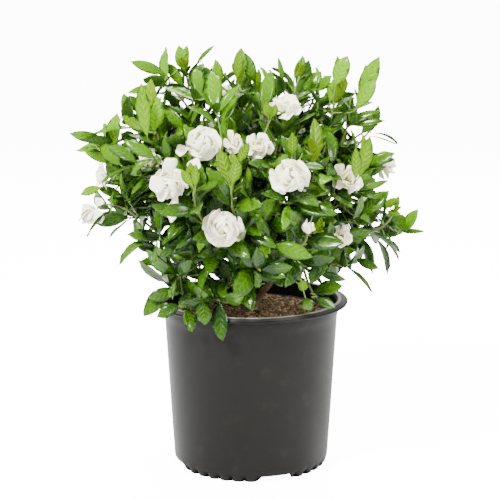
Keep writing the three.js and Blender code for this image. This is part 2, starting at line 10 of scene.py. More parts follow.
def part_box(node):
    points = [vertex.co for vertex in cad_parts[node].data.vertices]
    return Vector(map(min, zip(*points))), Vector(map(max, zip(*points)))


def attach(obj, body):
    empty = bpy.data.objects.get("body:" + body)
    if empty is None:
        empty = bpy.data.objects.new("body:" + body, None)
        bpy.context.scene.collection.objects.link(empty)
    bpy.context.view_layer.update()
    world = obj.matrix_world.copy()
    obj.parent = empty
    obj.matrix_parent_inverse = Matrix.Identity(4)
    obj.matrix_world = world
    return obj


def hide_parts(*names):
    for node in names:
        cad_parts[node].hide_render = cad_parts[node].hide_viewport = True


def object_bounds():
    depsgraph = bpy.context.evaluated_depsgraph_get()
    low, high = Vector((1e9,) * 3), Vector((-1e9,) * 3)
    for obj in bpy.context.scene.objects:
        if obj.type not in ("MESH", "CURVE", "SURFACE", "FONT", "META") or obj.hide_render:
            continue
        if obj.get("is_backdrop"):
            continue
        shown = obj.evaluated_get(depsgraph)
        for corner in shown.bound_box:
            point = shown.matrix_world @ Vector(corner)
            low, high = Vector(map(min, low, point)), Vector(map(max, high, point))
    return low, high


# The frame is loaded first, so that sizes can be read from it. Lengths below are in millimetres,
# as on the maker's drawing, and meshes are in metres.
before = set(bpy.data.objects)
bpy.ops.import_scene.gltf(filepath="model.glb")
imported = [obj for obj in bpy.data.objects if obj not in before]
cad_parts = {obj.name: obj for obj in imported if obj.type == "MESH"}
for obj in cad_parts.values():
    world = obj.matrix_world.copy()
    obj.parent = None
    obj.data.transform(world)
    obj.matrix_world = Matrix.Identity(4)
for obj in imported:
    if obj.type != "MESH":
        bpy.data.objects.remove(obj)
FRAME_LOW, FRAME_HIGH = (list(corner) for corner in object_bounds())

bl_info = {
    "name": "Potted Gardenia",
    "version": (1, 0, 0),
    "blender": (4, 5, 0),
    "location": "View3D > Sidebar > Gardenia",
    "description": "Dresses the solid frame of a flowering gardenia in its nursery pot",
    "category": "Add Mesh",
}

MM = 0.001
SEED = 7
UP = Vector((0, 0, 1))


# ------------------------------------------------------------------ the plan of the plant

# The pot and the mix. The pot's height and the radius of its lip are read from the frame.
POT_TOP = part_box("pot")[1].z / MM
POT_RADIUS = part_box("pot")[1].x / MM
BASE_RADIUS = 112
FOOT_RADIUS = 109.3
MOUTH_RADIUS = 122.3
WALL = 2.2
FLOOR_TOP = 7
FLOOR_UNDER = 4.8
PAD_RADIUS = 44
FLUTES = 36
FLUTE_DEPTH = 4.8
FLUTE_TOP = 10
SLOT_COUNT = 4
SLOT_TURN = 0.333
SLOT_HEIGHT = 9
SLOT_DEPTH = 20
SLOT_HALF_TOP = 21
SLOT_HALF_FOOT = 26
SOIL_LEVEL = 221
SOIL_RADIUS = 120.4
# What lies on the mix: a name, how its middle is lifted, its spacing as a share of the chips', and
# its least and greatest sizes in metres.
SCATTER = (
    ("chips", 0.5, 1, (0.003, 0.002, 0.0015), (0.012, 0.008, 0.004)),
    ("fibres", 0.12, 1.5, (0.009, 0.0011, 0.0011), (0.026, 0.0018, 0.0018)),
)
# The stump's heights, and its radius at each.
TRUNK = ((194, 10.5), (206, 10.8), (216, 11.6), (222, 11.2), (229, 9.6), (233, 7))
MAIN_RADII = (6.5, 4.2)
LIMB_RADII = (2.8, 2.4)
TWIG_RADII = (2.2, 1.5)
SPUR_RADII = (1.5, 1.0)
CROWN_MIDDLE = Vector((0, 0, 380))
FORK_SHARE = 0.3
MAIN_ENDS = (
    (0, -74, 318), (74, -34, 322), (66, 44, 345), (-4, 78, 330),
    (-78, 40, 330), (-70, -44, 320), (-6, 14, 356),
)
# The camera's place and the slope that it looks down at, as in the photo.
VIEWER = Vector((0, -2190, 753))
VIEW_SLOPE = math.radians(11.41)

Twig = namedtuple("Twig", "bears at toward size form")


def bloom(at, toward, size, form="full"):
    return Twig("bloom", Vector(at), Vector(toward).normalized(), size, form)


def shoot(at, toward, size):
    return Twig("shoot", Vector(at), Vector(toward).normalized(), size, None)


def tuft(at, toward, size=46):
    return Twig("tuft", Vector(at), Vector(toward).normalized(), size, None)


# Each branch's twigs: where each ends, which way its end looks, and the size of what it bears.
BRANCHES = {
    "front_low": (bloom((-37, -190, 378), (0, -1, 0.25), 29), tuft((12, -172, 318), (0.3, -0.8, -0.1))),
    "front_right": (
        bloom((50, -180, 445), (0.1, -1, 0.3), 29), bloom((75, -165, 368), (0.1, -0.5, 0.9), 11, "bud"),
    ),
    "front_tall": (
        shoot((-25, -186, 418), (0, -0.1, 1), 56), bloom((-24, -128, 482), (0.6, -0.8, 0.2), 17, "open"),
    ),
    "front_left": (
        bloom((-106, -165, 434), (-0.4, -0.9, -0.1), 27), shoot((-74, -188, 420), (-0.1, -0.1, 1), 42),
    ),
    "front_high": (
        bloom((-63, -150, 485), (-0.15, -1, 0.35), 27), tuft((-70, -60, 535), (-0.3, -0.5, 1), 52),
    ),
    "centre_high": (
        bloom((9, -118, 475), (0.2, -0.9, 0.5), 21, "open"),
        bloom((44, -70, 519), (0.1, -0.5, 0.9), 25, "open"),
    ),
    "left_shoot": (
        shoot((-127, -90, 491), (-0.22, -0.1, 1), 68), bloom((-142, -66, 452), (-0.6, -0.6, 0.3), 17, "open"),
    ),
    "left_high": (tuft((-165, -38, 497), (-0.8, -0.1, 0.7), 58), tuft((-128, 30, 478), (-0.7, 0.4, 0.6), 54)),
    "left_far": (
        tuft((-190, -25, 468), (-1, 0, 0.55), 58), bloom((-203, -45, 425), (-1, -0.3, -0.1), 19, "open"),
    ),
    "left_low": (
        bloom((-219, -60, 378), (-0.8, -0.2, -0.5), 13, "bud"), tuft((-142, -72, 343), (-1, -0.2, 0.25), 55),
    ),
    "top_left": (shoot((-90, 0, 560), (-0.1, 0, 1), 40), tuft((-122, 5, 548), (-1, 0, 0.6), 58)),
    "top_centre": (shoot((-15, -10, 538), (0, 0, 1), 58), bloom((-36, 22, 533), (-0.2, -0.3, 1), 15, "open")),
    "top_right": (shoot((66, 0, 553), (0.3, 0, 1), 34), tuft((95, 25, 540), (0.4, 0.2, 1), 50)),
    "right_veined": (shoot((114, -20, 510), (0.22, 0, 1), 74),),
    "right_high": (shoot((144, 0, 507), (0.42, 0, 1), 66), tuft((160, 20, 478), (1, 0.2, 0.5), 55)),
    "right_front": (shoot((84, -112, 440), (0.12, 0, 1), 68), shoot((150, -40, 420), (0.25, -0.1, 1), 58)),
    "right_mid": (
        bloom((130, -78, 425), (0.35, -0.9, 0.3), 23, "open"),
        bloom((156, -30, 385), (0.8, -0.6, -0.3), 15, "open"),
    ),
    "right_far": (shoot((196, -40, 366), (0.5, 0, 1), 30), tuft((198, -25, 356), (1, -0.1, 0.35), 52)),
    "right_low": (
        tuft((134, -70, 303), (1, -0.2, 0.1), 50), bloom((122, -97, 350), (0.4, -0.9, 0.2), 18, "open"),
    ),
    "rim_left": (
        tuft((-108, -88, 278), (-1, -0.5, -0.15), 60), tuft((-100, -120, 300), (-0.8, -0.8, 0.3), 58),
    ),
    "rim_front": (tuft((-45, -128, 268), (0, -1, -0.45), 62), tuft((-8, -132, 300), (0.2, -1, 0.2), 58)),
    "rim_right": (tuft((98, -92, 262), (1, -0.4, 0.15), 58), tuft((62, -128, 322), (0.3, -1, 0.1), 60)),
    "back_right": (
        bloom((196, 96, 420), (0.8, 0.5, 0.4), 25), tuft((185, 60, 320), (1, 0.3, 0), 58),
        tuft((176, 62, 478), (0.8, 0.4, 0.6)),
    ),
    "back_high": (
        tuft((70, 110, 530), (0.3, 0.5, 1), 55), tuft((-55, 110, 535), (-0.3, 0.5, 1), 55),
        tuft((135, 125, 485), (0.6, 0.6, 0.8)),
    ),
    "back": (
        bloom((-15, 200, 425), (0, 1, 0.4), 27), shoot((75, 178, 425), (0.2, 0.3, 1), 60),
        tuft((10, 160, 505), (0, 0.7, 1), 56),
    ),
    "back_left": (
        bloom((-165, 130, 430), (-0.7, 0.7, 0.4), 24), tuft((-180, 70, 345), (-1, 0.4, 0), 58),
        tuft((-130, 105, 505), (-0.6, 0.4, 1)),
    ),
    "back_low": (
        tuft((80, 135, 300), (0.5, 1, 0), 58), tuft((-85, 135, 305), (-0.5, 1, 0), 58),
        tuft((0, 195, 345), (0, 1, 0.2), 56),
    ),
}

# The crown's outline from the front, on the upright plane through the pot's middle.
CROWN_OUTLINE = (
    (-30, 232), (-112, 236), (-120, 262), (-150, 296), (-172, 330), (-165, 355), (-205, 362), (-220, 400),
    (-220, 440), (-240, 472), (-200, 500), (-172, 530), (-155, 548), (-125, 560), (-100, 594), (-70, 590),
    (-30, 566), (-13, 588), (15, 572), (60, 568), (105, 566), (135, 578), (150, 545), (174, 575),
    (170, 545), (150, 515), (178, 505), (150, 488), (166, 470), (192, 450), (166, 420), (188, 410),
    (168, 392), (198, 388), (213, 362), (230, 366), (222, 335), (200, 318), (165, 302), (174, 288),
    (138, 276), (118, 256), (88, 248),
)

Mark = namedtuple("Mark", "root tip depth half age")
# Leaves that stand out from the front: where each starts and ends on that same plane, how far it
# stands behind the plane, half its width, and its age, in which 1 is a new leaf and 2 a lime one.
MARKED_LEAVES = [Mark(*row) for row in (
    ((-105, 252), (-149, 241), -88, 10, 0.11), ((-100, 232), (-136, 212), -118, 9, 0.09),
    ((-95, 228), (-86, 190), -128, 10, 0.09), ((-72, 240), (-66, 200), -137, 11, 0.16),
    ((-100, 285), (-130, 270), -95, 9, 0.41), ((-120, 292), (-158, 295), -75, 8, 0.07),
    ((-130, 312), (-165, 319), -60, 8, 0.07), ((-125, 330), (-176, 334), -80, 9, 0.1),
    ((-92, 278), (-118, 242), -100, 11, 0.27), ((-86, 264), (-76, 232), -118, 9, 0.09),
    ((-60, 270), (-40, 238), -122, 10, 0.11), ((-75, 288), (-58, 254), -110, 9, 0.05),
    ((-22, 232), (4, 263), -132, 9, 0.36), ((-104, 302), (-74, 268), -90, 10, 0.05),
    ((-46, 302), (-30, 264), -122, 9, 0.07), ((-30, 258), (-12, 232), -128, 8, 0.09),
    ((26, 292), (45, 257), -142, 11, 0.05), ((58, 300), (70, 266), -142, 10, 0.05),
    ((-132, 286), (-104, 260), -80, 8, 0.05), ((-106, 268), (-88, 240), -112, 9, 0.07),
    ((-56, 264), (-76, 238), -120, 9, 0.18), ((-12, 264), (-28, 240), -126, 8, 0.07),
    ((-84, 250), (-104, 226), -130, 8, 0.14), ((-5, 285), (12, 256), -146, 10, 0.23),
    ((98, 292), (86, 262), -120, 9, 0.05), ((-180, 385), (-218, 402), -40, 8, 0.2),
    ((-176, 378), (-206, 384), -40, 6, 0.3), ((95, 540), (113, 560), 0, 8, 0.6),
    ((-212, 402), (-243, 391), -50, 7, 1.5), ((-195, 435), (-238, 458), -30, 8, 0.5),
    ((-205, 470), (-256, 479), -20, 8, 0.4), ((-197, 455), (-188, 507), -30, 12, 0.95),
    ((-150, 482), (-182, 503), -90, 8, 1.7), ((-150, 505), (-172, 532), 0, 9, 0.2),
    ((-130, 545), (-173, 536), 0, 6, 0.5), ((-118, 562), (-168, 580), 10, 8, 0.4),
    ((-92, 565), (-101, 602), 10, 10, 0.8), ((-78, 575), (-50, 603), 0, 3.5, 0.4),
    ((-45, 545), (-50, 583), -20, 8, 1.3), ((-95, 545), (-118, 578), 20, 8, 0.4),
    ((5, 548), (-9, 592), -5, 9, 0.3), ((8, 538), (11, 570), -8, 5, 1.6),
    ((45, 548), (38, 586), 0, 4, 0.4), ((60, 555), (72, 586), 10, 6, 1.7),
    ((75, 530), (98, 566), 20, 12, 0.5), ((118, 545), (135, 588), -38, 12, 1.3),
    ((110, 520), (122, 562), -20, 7, 1.2), ((150, 525), (179, 586), -22, 12, 1.3),
    ((148, 513), (175, 556), -42, 11, 1.5), ((135, 498), (182, 511), 0, 5, 0.3),
    ((140, 490), (188, 497), 0, 6, 0.3), ((153, 415), (168, 474), -95, 10, 1.8),
    ((149, 412), (148, 458), -108, 8, 1.9), ((160, 430), (203, 451), -30, 9, 0.3),
    ((145, 395), (195, 412), -60, 5, 0.3), ((155, 360), (196, 396), -60, 12, 0.3),
    ((185, 372), (210, 386), -40, 6, 1.6), ((195, 368), (213, 362), -40, 5, 1.4),
    ((215, 335), (238, 370), 0, 9, 0.7), ((210, 338), (248, 338), 0, 4, 0.3),
    ((195, 328), (214, 307), 0, 4, 0.09), ((150, 298), (183, 284), -60, 7, 0.07),
    ((95, 278), (136, 267), -95, 6, 0.07), ((88, 248), (131, 258), -112, 12, 0.14),
    ((90, 240), (122, 226), -125, 9, 0.14), ((78, 242), (84, 222), -136, 9, 0.27),
    ((66, 262), (82, 256), -128, 8, 1.7), ((58, 445), (58, 480), -150, 8, 1.9),
    ((25, 500), (21, 523), -100, 7, 1.8), ((28, 500), (35, 520), -100, 6, 1.8),
    ((92, 325), (102, 360), -140, 8, 1.7), ((-4, 408), (-4, 430), -160, 4, 1.7),
    ((-18, 436), (-3, 465), -155, 7, 1.9), ((-30, 405), (-45, 458), -204, 9, 2),
    ((-27, 405), (-19, 444), -208, 9, 1.9), ((-82, 402), (-99, 427), -208, 7, 2),
    ((-79, 402), (-78, 435), -212, 7, 1.9), ((-146, 470), (-154, 549), -122, 11, 1.6),
    ((-138, 480), (-131, 530), -112, 11, 1), ((-20, 552), (-14, 598), -32, 8, 1.7),
    ((8, 298), (26, 318), -175, 10, 1.2), ((-75, 308), (-68, 335), -160, 6, 1.3),
)]
# Petals that stand off the nearest bloom.
MARKED_PETALS = [Mark(*row) for row in (
    ((-105, 395), (-114, 352), -172, 8, 0.5), ((-222, 374), (-241, 367), -60, 9, 0.5),
    ((-222, 372), (-232, 349), -62, 9, 0.5), ((-221, 372), (-214, 350), -64, 8, 0.5),
    ((-220, 374), (-213, 386), -58, 7, 0.5), ((-118, 412), (-144, 402), -174, 12, 0.5),
    ((-116, 404), (-132, 384), -176, 11, 0.5), ((-112, 420), (-120, 443), -170, 12, 0.5),
    ((-88, 458), (-106, 452), -160, 8, 0.5), ((-133, 430), (-139, 450), -110, 9, 0.5),
    ((-75, 445), (-84, 424), -160, 9, 0.5), ((-48, 448), (-42, 424), -150, 5, 0.5),
)]

Row = namedtuple("Row", "count tilt length half bend fold twist root")
# The rows of petals, from the outside in. Lengths are shares of the bloom's radius. The rows that
# the frame has come first, in its order, and the finer rows after them.
PETALS = {
    "full": (
        Row(5, 1.42, 1.0, 0.54, 0.45, 0.12, 0.3, -0.18),
        Row(4, 0.85, 0.84, 0.52, -0.45, 0.12, 0.36, 0),
        Row(5, 1.3, 1.05, 0.6, -0.85, 0.2, 0.25, -0.1),
        Row(4, 1.5, 1.3, 0.52, -2.45, 0.42, 0.3, 0.0),
        Row(3, 1.25, 1.12, 0.42, -2.4, 0.5, 0.35, 0.05),
        Row(3, 0.8, 1.0, 0.3, -2.25, 0.6, 0.4, 0.1),
    ),
    "open": (
        Row(5, 1.15, 1.04, 0.42, 0.4, 0.2, 0.28, -0.1),
        Row(5, 0.95, 0.95, 0.5, -0.7, 0.2, 0.3, 0),
        Row(3, 0.7, 0.75, 0.42, -1.3, 0.3, 0.3, 0.05),
    ),
    "bud": (
        Row(3, 0.6, 1.4, 0.4, -1.1, 0.25, 0.4, -0.17),
        Row(4, 0.75, 1.3, 0.6, -1.4, 0.35, 0.5, -0.1),
    ),
}
FRAME_ROWS = {"full": 2, "open": 1, "bud": 1}
PETAL_REACH = {"full": 0.68, "open": 0.86, "bud": 1.35}
# The throat's radii and heights, as shares of the bloom's radius: its own, and the frame's.
THROAT = ((0.07, -0.75), (0.11, -0.55), (0.17, -0.38), (0.2, -0.3), (0.21, -0.1), (0.16, 0.1), (0.06, 0.2))
FRAME_THROAT = ((0.07, -0.75), (0.2, -0.3), (0.22, 0.1), (0.12, 0.42), (0, 0.56))
THROAT_LENGTH = 0.75
# Each leaf of a shoot: its turn, its tilt, its size and its height. The frame has the first three.
SHOOT_LEAVES = ((0, 0.12, 1, 0.28), (2.6, 0.36, 0.8, 0.17), (4.4, 0.75, 0.62, 0.08))
FINE_SHOOT_LEAVES = ((1.3, 0.5, 0.5, 0.22), (3.6, 0.3, 0.55, 0.25), (5.4, 0.2, 0.42, 0.29))


# ------------------------------------------------------------------ numbers and stems


def draw(*keys):
    """A repeatable number from 0 to 1 for each set of whole-number keys."""
    mixed = SEED
    for key in keys:
        mixed = ((mixed ^ (key + 0x9E3779B9)) * 0x85EBCA6B) & 0xFFFFFFFF
        mixed ^= mixed >> 13
        mixed = (mixed * 0xC2B2AE35) & 0xFFFFFFFF
        mixed ^= mixed >> 16
    return mixed / 2**32


def spread(amount, *keys):
    """A repeatable number from minus the amount to the amount."""
    return amount * (2 * draw(*keys) - 1)


def clamped(value):
    return max(0, min(1, value))


def square_to(direction, vector):
    """The part of a vector that is square to a direction, made one long."""
    return (vector - direction * vector.dot(direction)).normalized()


def stem_curve(start, leaving, end, arriving):
    length = (end - start).length
    return start, start + 0.34 * length * leaving, end - 0.3 * length * arriving, end


def curve_point(curve, t):
    a, b, c, d = curve
    s = 1 - t
    return a * s**3 + b * (3 * s * s * t) + c * (3 * s * t * t) + d * t**3


def curve_direction(curve, t):
    a, b, c, d = curve
    s = 1 - t
    return ((b - a) * (s * s) + (c - b) * (2 * s * t) + (d - c) * (t * t)).normalized()


def curve_frame(curve, t):
    """The curve's own direction, and two more square to it that never twist along the stem."""
    chord = curve[3] - curve[0]
    tangent = curve_direction(curve, t)
    across = square_to(tangent, Vector((chord.y, -chord.x, 0)))
    return tangent, across, across.cross(tangent)


def curve_length(curve):
    return (curve[3] - curve[0]).length


def sampled(curve, radii, steps):
    """Points down a curve, each with the stem's radius there."""
    first, last = radii
    places = [step / steps for step in range(steps + 1)]
    return [(curve_point(curve, t), first + (last - first) * t) for t in places]


def main_stem(end):
    start = Vector((0, 0, SOIL_LEVEL + 3))
    heading = (Vector(end) - start).normalized()
    return stem_curve(start, (heading + 0.5 * UP).normalized(), Vector(end), heading)


MAIN_STEMS = [main_stem(end) for end in MAIN_ENDS]
Branch = namedtuple("Branch", "name number twigs limb curves")


def branch_of(number, name):
    """A branch leaves the main stem nearest to its way, and forks into its twigs."""
    twigs = BRANCHES[name]
    middle = sum((twig.at for twig in twigs), Vector()) / len(twigs)
    main = min(MAIN_STEMS, key=lambda stem: (middle - stem[0]).angle(stem[3] - stem[0]))
    t = 0.55 + 0.42 * draw(9, number)
    start = curve_point(main, t)
    outward = (middle - start).normalized()
    leaving = (curve_direction(main, t) + outward).normalized()
    fork = start.lerp(middle, FORK_SHARE)
    heading = ((twigs[0].at - fork).normalized() + outward).normalized()
    limb = stem_curve(start, leaving, fork + heading, heading)
    curves = [twig_curve(twig, i, fork, heading) for i, twig in enumerate(twigs)]
    return Branch(name, number, twigs, limb, curves)


def twig_curve(twig, i, fork, heading):
    back = THROAT_LENGTH * twig.size if twig.bears == "bloom" else 0
    end = twig.at - twig.toward * back
    start = fork + heading * (0.15 if i == 0 else 4)
    leaving = heading if i == 0 else ((end - start).normalized() + heading).normalized()
    return stem_curve(start, leaving, end, twig.toward)


PLANT = [branch_of(number, name) for number, name in enumerate(BRANCHES)]


# ------------------------------------------------------------------ blades: leaves and petals

# A leaf, petal or sepal: where it starts, the way it runs and the way its upper side looks, its
# length and half width, how far it bends back, how its edges rise, its age, and its own phase.
Blade = namedtuple("Blade", "root along face length half bend fold age phase")
# A leaf of the frame: how thick it is, how closely an edge has to match that, and its near
# corners' share of its length and of its full width.
FRAME_THICKNESS = 0.8
PLAY_IN_THICKNESS = 0.004
NEAR_SHARE = 0.36
NEAR_WIDTH = 0.94


def welded(node):
    """A frame node's corners in millimetres, each once, and the edges between them."""
    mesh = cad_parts[node].data
    mesh.calc_loop_triangles()
    places = np.empty(len(mesh.vertices) * 3, np.float32)
    mesh.vertices.foreach_get("co", places)
    triangles = np.empty(len(mesh.loop_triangles) * 3, np.int32)
    mesh.loop_triangles.foreach_get("vertices", triangles)
    steps = np.round(places.reshape(-1, 3).astype(float) / 1e-6)
    corners, index = np.unique(steps, axis=0, return_inverse=True)
    triangles = index.ravel()[triangles].reshape(-1, 3)
    edges = np.vstack([triangles[:, [0, 1]], triangles[:, [1, 2]], triangles[:, [2, 0]]])
    edges = np.unique(np.sort(edges, axis=1), axis=0)
    return corners * 1e-3, edges[edges[:, 0] != edges[:, 1]]


def frame_leaves(node):
    """The leaves of a leafy branch of the frame. A leaf's edge is as thick as the leaf at its four
    corners, and comes to one point at its tip."""
    corners, edges = welded(node)
    lengths = np.linalg.norm(corners[edges[:, 0]] - corners[edges[:, 1]], axis=1)
    pair_of = {}
    pairs = []
    for a, b in edges[np.abs(lengths - FRAME_THICKNESS) < PLAY_IN_THICKNESS]:
        if a not in pair_of and b not in pair_of:
            pair_of[a] = pair_of[b] = len(pairs)
            pairs.append((corners[a] + corners[b]) / 2)
    group = list(range(len(pairs)))

    def leader(i):
        while group[i] != i:
            i = group[i]
        return i

    reached = {}
    for a, b in edges:
        if a in pair_of and b in pair_of:
            group[leader(pair_of[a])] = leader(pair_of[b])
        elif a in pair_of or b in pair_of:
            held, free = (a, b) if a in pair_of else (b, a)
            reached.setdefault(free, []).append(pair_of[held])
    members = {}
    for i in range(len(pairs)):
        members.setdefault(leader(i), []).append(i)
    leaves = []
    for lead, four in members.items():
        ends = [v for v, near in reached.items() if len(near) == 4 and len(set(near)) == 2]
        tip = next((v for v in ends if leader(reached[v][0]) == lead), None)
        if len(four) != 4 or tip is None:
            continue
        far = sorted(set(reached[tip]))
        near = [i for i in four if i not in far]
        leaves.append(blade_through([pairs[i] for i in near], [pairs[i] for i in far], corners[tip]))
    return leaves


def blade_through(near, far, tip):
    """The blade whose widest corners, further corners and tip are these: its midrib is an arc."""
    near, far = [Vector(p) for p in near], [Vector(p) for p in far]
    a, b, c = (near[0] + near[1]) / 2, (far[0] + far[1]) / 2, Vector(tip)
    ab, ac = b - a, c - a
    axis = ab.cross(ac)
    reach = axis.cross(ab) * ac.length_squared + ac.cross(axis) * ab.length_squared
    centre = a + reach / (2 * axis.length_squared)
    radius = (a - centre).length
    bend = (a - centre).angle(c - centre) / (1 - NEAR_SHARE)
    face = Quaternion(axis.normalized(), -NEAR_SHARE * bend) @ (a - centre).normalized()
    along = axis.normalized().cross(face)
    half = (near[0] - near[1]).length / (2 * NEAR_WIDTH)
    return Blade(centre + face * radius, along, face, radius * bend, half, bend, 0.0, 0.5, 0.0)


def blade_point(blade, share):
    """A point on a blade's midrib."""
    angle, reach = blade.bend * share, blade.length / blade.bend
    return blade.root + blade.along * (reach * math.sin(angle)) + blade.face * (reach * (math.cos(angle) - 1))


def leaning_blade(turn, tilt, height, radius, twist, length, half, bend, fold, age, phase):
    """A blade that leans outward by tilt from an upright stem of some radius."""
    outward = Vector((math.cos(turn), math.sin(turn), 0))
    along = outward * math.sin(tilt) + UP * math.cos(tilt)
    face = Quaternion(along, twist) @ (UP * math.sin(tilt) - outward * math.cos(tilt))
    return Blade(outward * radius + UP * height, along, face, length, half, bend, fold, age, phase)


def placed(blade, place, turn):
    """A blade made about +Z, carried to its place in the crown."""
    return blade._replace(root=place + turn @ blade.root, along=turn @ blade.along, face=turn @ blade.face)


# How wide a blade is at each share of its length.
LEAF_OUTLINE = (
    (0, 0.05), (0.07, 0.1), (0.2, 0.52), (0.34, 0.88), (0.5, 1.0),
    (0.66, 0.93), (0.8, 0.68), (0.91, 0.32), (1, 0.0),
)
SEPAL_OUTLINE = ((0, 0.7), (0.25, 1.0), (0.6, 0.75), (1, 0.0))
PETAL_OUTLINE = (
    (0, 0.16), (0.12, 0.32), (0.28, 0.6), (0.45, 0.88), (0.62, 1.05), (0.78, 1.06), (0.91, 0.88), (1, 0.5),
)


def blade_mesh(name, outline, columns, rounding):
    """A flat blade one long and two wide. Its corners keep their place along it, across it and
    through it in 'plan', and its underside is marked, so that a tree can bend and colour it."""
    mesh = bmesh.new()
    under_mark = mesh.faces.layers.float.new("under")
    map_layer = mesh.loops.layers.uv.new("blade")
    across = [2 * k / columns - 1 for k in range(columns + 1)]
    plan = {}

    def corner(share, width, v, side):
        edge = 1 - abs(v) ** 2.5
        vertex = mesh.verts.new((share * (1 - rounding * share * v * v), v * width, side * edge))
        plan[vertex] = (share, (v + 1) / 2)
        return vertex

    rows = []
    for share, width in outline:
        if width == 0:
            tip = corner(share, 0, 0, 0)
            rows.append(([tip] * (columns + 1), [tip] * (columns + 1)))
            continue
        top = [corner(share, width, v, 0.5) for v in across]
        under = [top[0]] + [corner(share, width, v, -0.5) for v in across[1:-1]] + [top[-1]]
        rows.append((top, under))

    def face(vertices, mark):
        kept = list(dict.fromkeys(vertices))
        if len(kept) < 3:
            return
        made = mesh.faces.new(kept)
        made[under_mark] = mark
        made.smooth = True
        for loop in made.loops:
            loop[map_layer].uv = plan[loop.vert]

    for (top_a, under_a), (top_b, under_b) in zip(rows, rows[1:]):
        for k in range(columns):
            face((top_a[k], top_b[k], top_b[k + 1], top_a[k + 1]), 0.0)
            face((under_a[k + 1], under_b[k + 1], under_b[k], under_a[k]), 1.0)
    first_top, first_under = rows[0]
    face(list(first_top) + list(reversed(first_under[1:-1])), 1.0)
    last_top, last_under = rows[-1]
    if last_top[0] is not last_top[-1]:
        face(list(reversed(last_top)) + list(last_under[1:-1]), 1.0)
    result = plain_mesh(name, mesh)
    store(result, "plan", [v.co for v in result.vertices])
    return bpy.data.objects.new(name, result)


def plain_mesh(name, shape):
    """The finished mesh of a shape under work, which is freed."""
    mesh = bpy.data.meshes.new(name)
    shape.normal_update()
    shape.to_mesh(mesh)
    shape.free()
    return mesh


def store(mesh, name, values):
    """Writes one attribute on a mesh's points, of vectors or of plain numbers."""
    values = np.array(values, np.float32)
    kind, key = ("FLOAT_VECTOR", "vector") if values.ndim == 2 else ("FLOAT", "value")
    mesh.attributes.new(name, kind, "POINT").data.foreach_set(key, values.ravel())


# ------------------------------------------------------------------ trees of nodes


def operators(operation):
    """Two methods that add a Math node: for a socket on its left, and for one on its right."""

    def left(self, other):
        return self.sheet.math(operation, self, other)

    def right(self, other):
        return self.sheet.math(operation, other, self)

    return left, right


class Socket:
    """An output of a node. Each operator on it adds a Math node."""

    __add__, __radd__ = operators("ADD")
    __sub__, __rsub__ = operators("SUBTRACT")
    __mul__, __rmul__ = operators("MULTIPLY")
    __truediv__, __rtruediv__ = operators("DIVIDE")
    __pow__, __rpow__ = operators("POWER")

    def __init__(self, sheet, node, socket):
        self.sheet, self.node, self.socket = sheet, node, socket

    def __abs__(self):
        return self.sheet.math("ABSOLUTE", self)

    def out(self, name):
        return Socket(self.sheet, self.node, open_socket(self.node.outputs, name))


def open_socket(sockets, name):
    """The socket in use that has this name, or this place in the row."""
    if isinstance(name, int):
        return sockets[name]
    found = [s for s in sockets if s.name == name and s.enabled]
    if not found:
        raise ValueError(f"no socket named {name} among {[s.name for s in sockets]}")
    return found[0]


class Sheet:
    """Draws the nodes of one tree."""

    def __init__(self, tree):
        self.tree = tree

    def add(self, kind, settings=None, inputs=None):
        node = self.tree.nodes.new(kind)
        for key, value in (settings or {}).items():
            setattr(node, key, value)
        for name, value in (inputs or {}).items():
            socket = open_socket(node.inputs, name)
            if isinstance(value, Socket):
                self.tree.links.new(value.socket, socket)
            else:
                socket.default_value = value
        first = next((s for s in node.outputs if s.enabled), None)
        return Socket(self, node, first)

    def math(self, operation, *values):
        return self.add("ShaderNodeMath", {"operation": operation}, dict(enumerate(values)))

    def clamp(self, value):
        return self.add("ShaderNodeMath", {"operation": "ADD", "use_clamp": True}, {0: value, 1: 0.0})

    def vector(self, operation, *values):
        return self.add("ShaderNodeVectorMath", {"operation": operation}, dict(enumerate(values)))

    def scaled(self, vector, value):
        return self.add("ShaderNodeVectorMath", {"operation": "SCALE"}, {0: vector, "Scale": value})

    def mix(self, factor, a, b):
        settings = {"data_type": "RGBA"}
        return self.add("ShaderNodeMix", settings, {"Factor": factor, "A": a, "B": b}).out("Result")


class GeometrySheet(Sheet):
    """A tree of geometry nodes with named inputs."""

    def __init__(self, name, inputs):
        super().__init__(bpy.data.node_groups.new(name, "GeometryNodeTree"))
        face = self.tree.interface
        face.new_socket("Geometry", in_out="INPUT", socket_type="NodeSocketGeometry")
        for label, kind in inputs.items():
            face.new_socket(label, in_out="INPUT", socket_type="NodeSocket" + kind)
        face.new_socket("Geometry", in_out="OUTPUT", socket_type="NodeSocketGeometry")
        self.source = self.add("NodeGroupInput")

    def attribute(self, name, kind="FLOAT"):
        return self.add("GeometryNodeInputNamedAttribute", {"data_type": kind}, {"Name": name})

    def random(self, kind, low, high):
        inputs = {"Min": low, "Max": high, "Seed": self.source.out("Seed")}
        return self.add("FunctionNodeRandomValue", {"data_type": kind}, inputs)

    def finish(self, geometry):
        """Ends the tree. Every tree has a material among its inputs."""
        real = self.add("GeometryNodeRealizeInstances", None, {"Geometry": geometry})
        inputs = {"Geometry": real, "Material": self.source.out("Material")}
        dressed = self.add("GeometryNodeSetMaterial", None, inputs)
        self.add("NodeGroupOutput", None, {"Geometry": dressed})
        return self.tree


def linked(name, data):
    """A new object in the scene."""
    made = bpy.data.objects.new(name, data)
    bpy.context.scene.collection.objects.link(made)
    return made


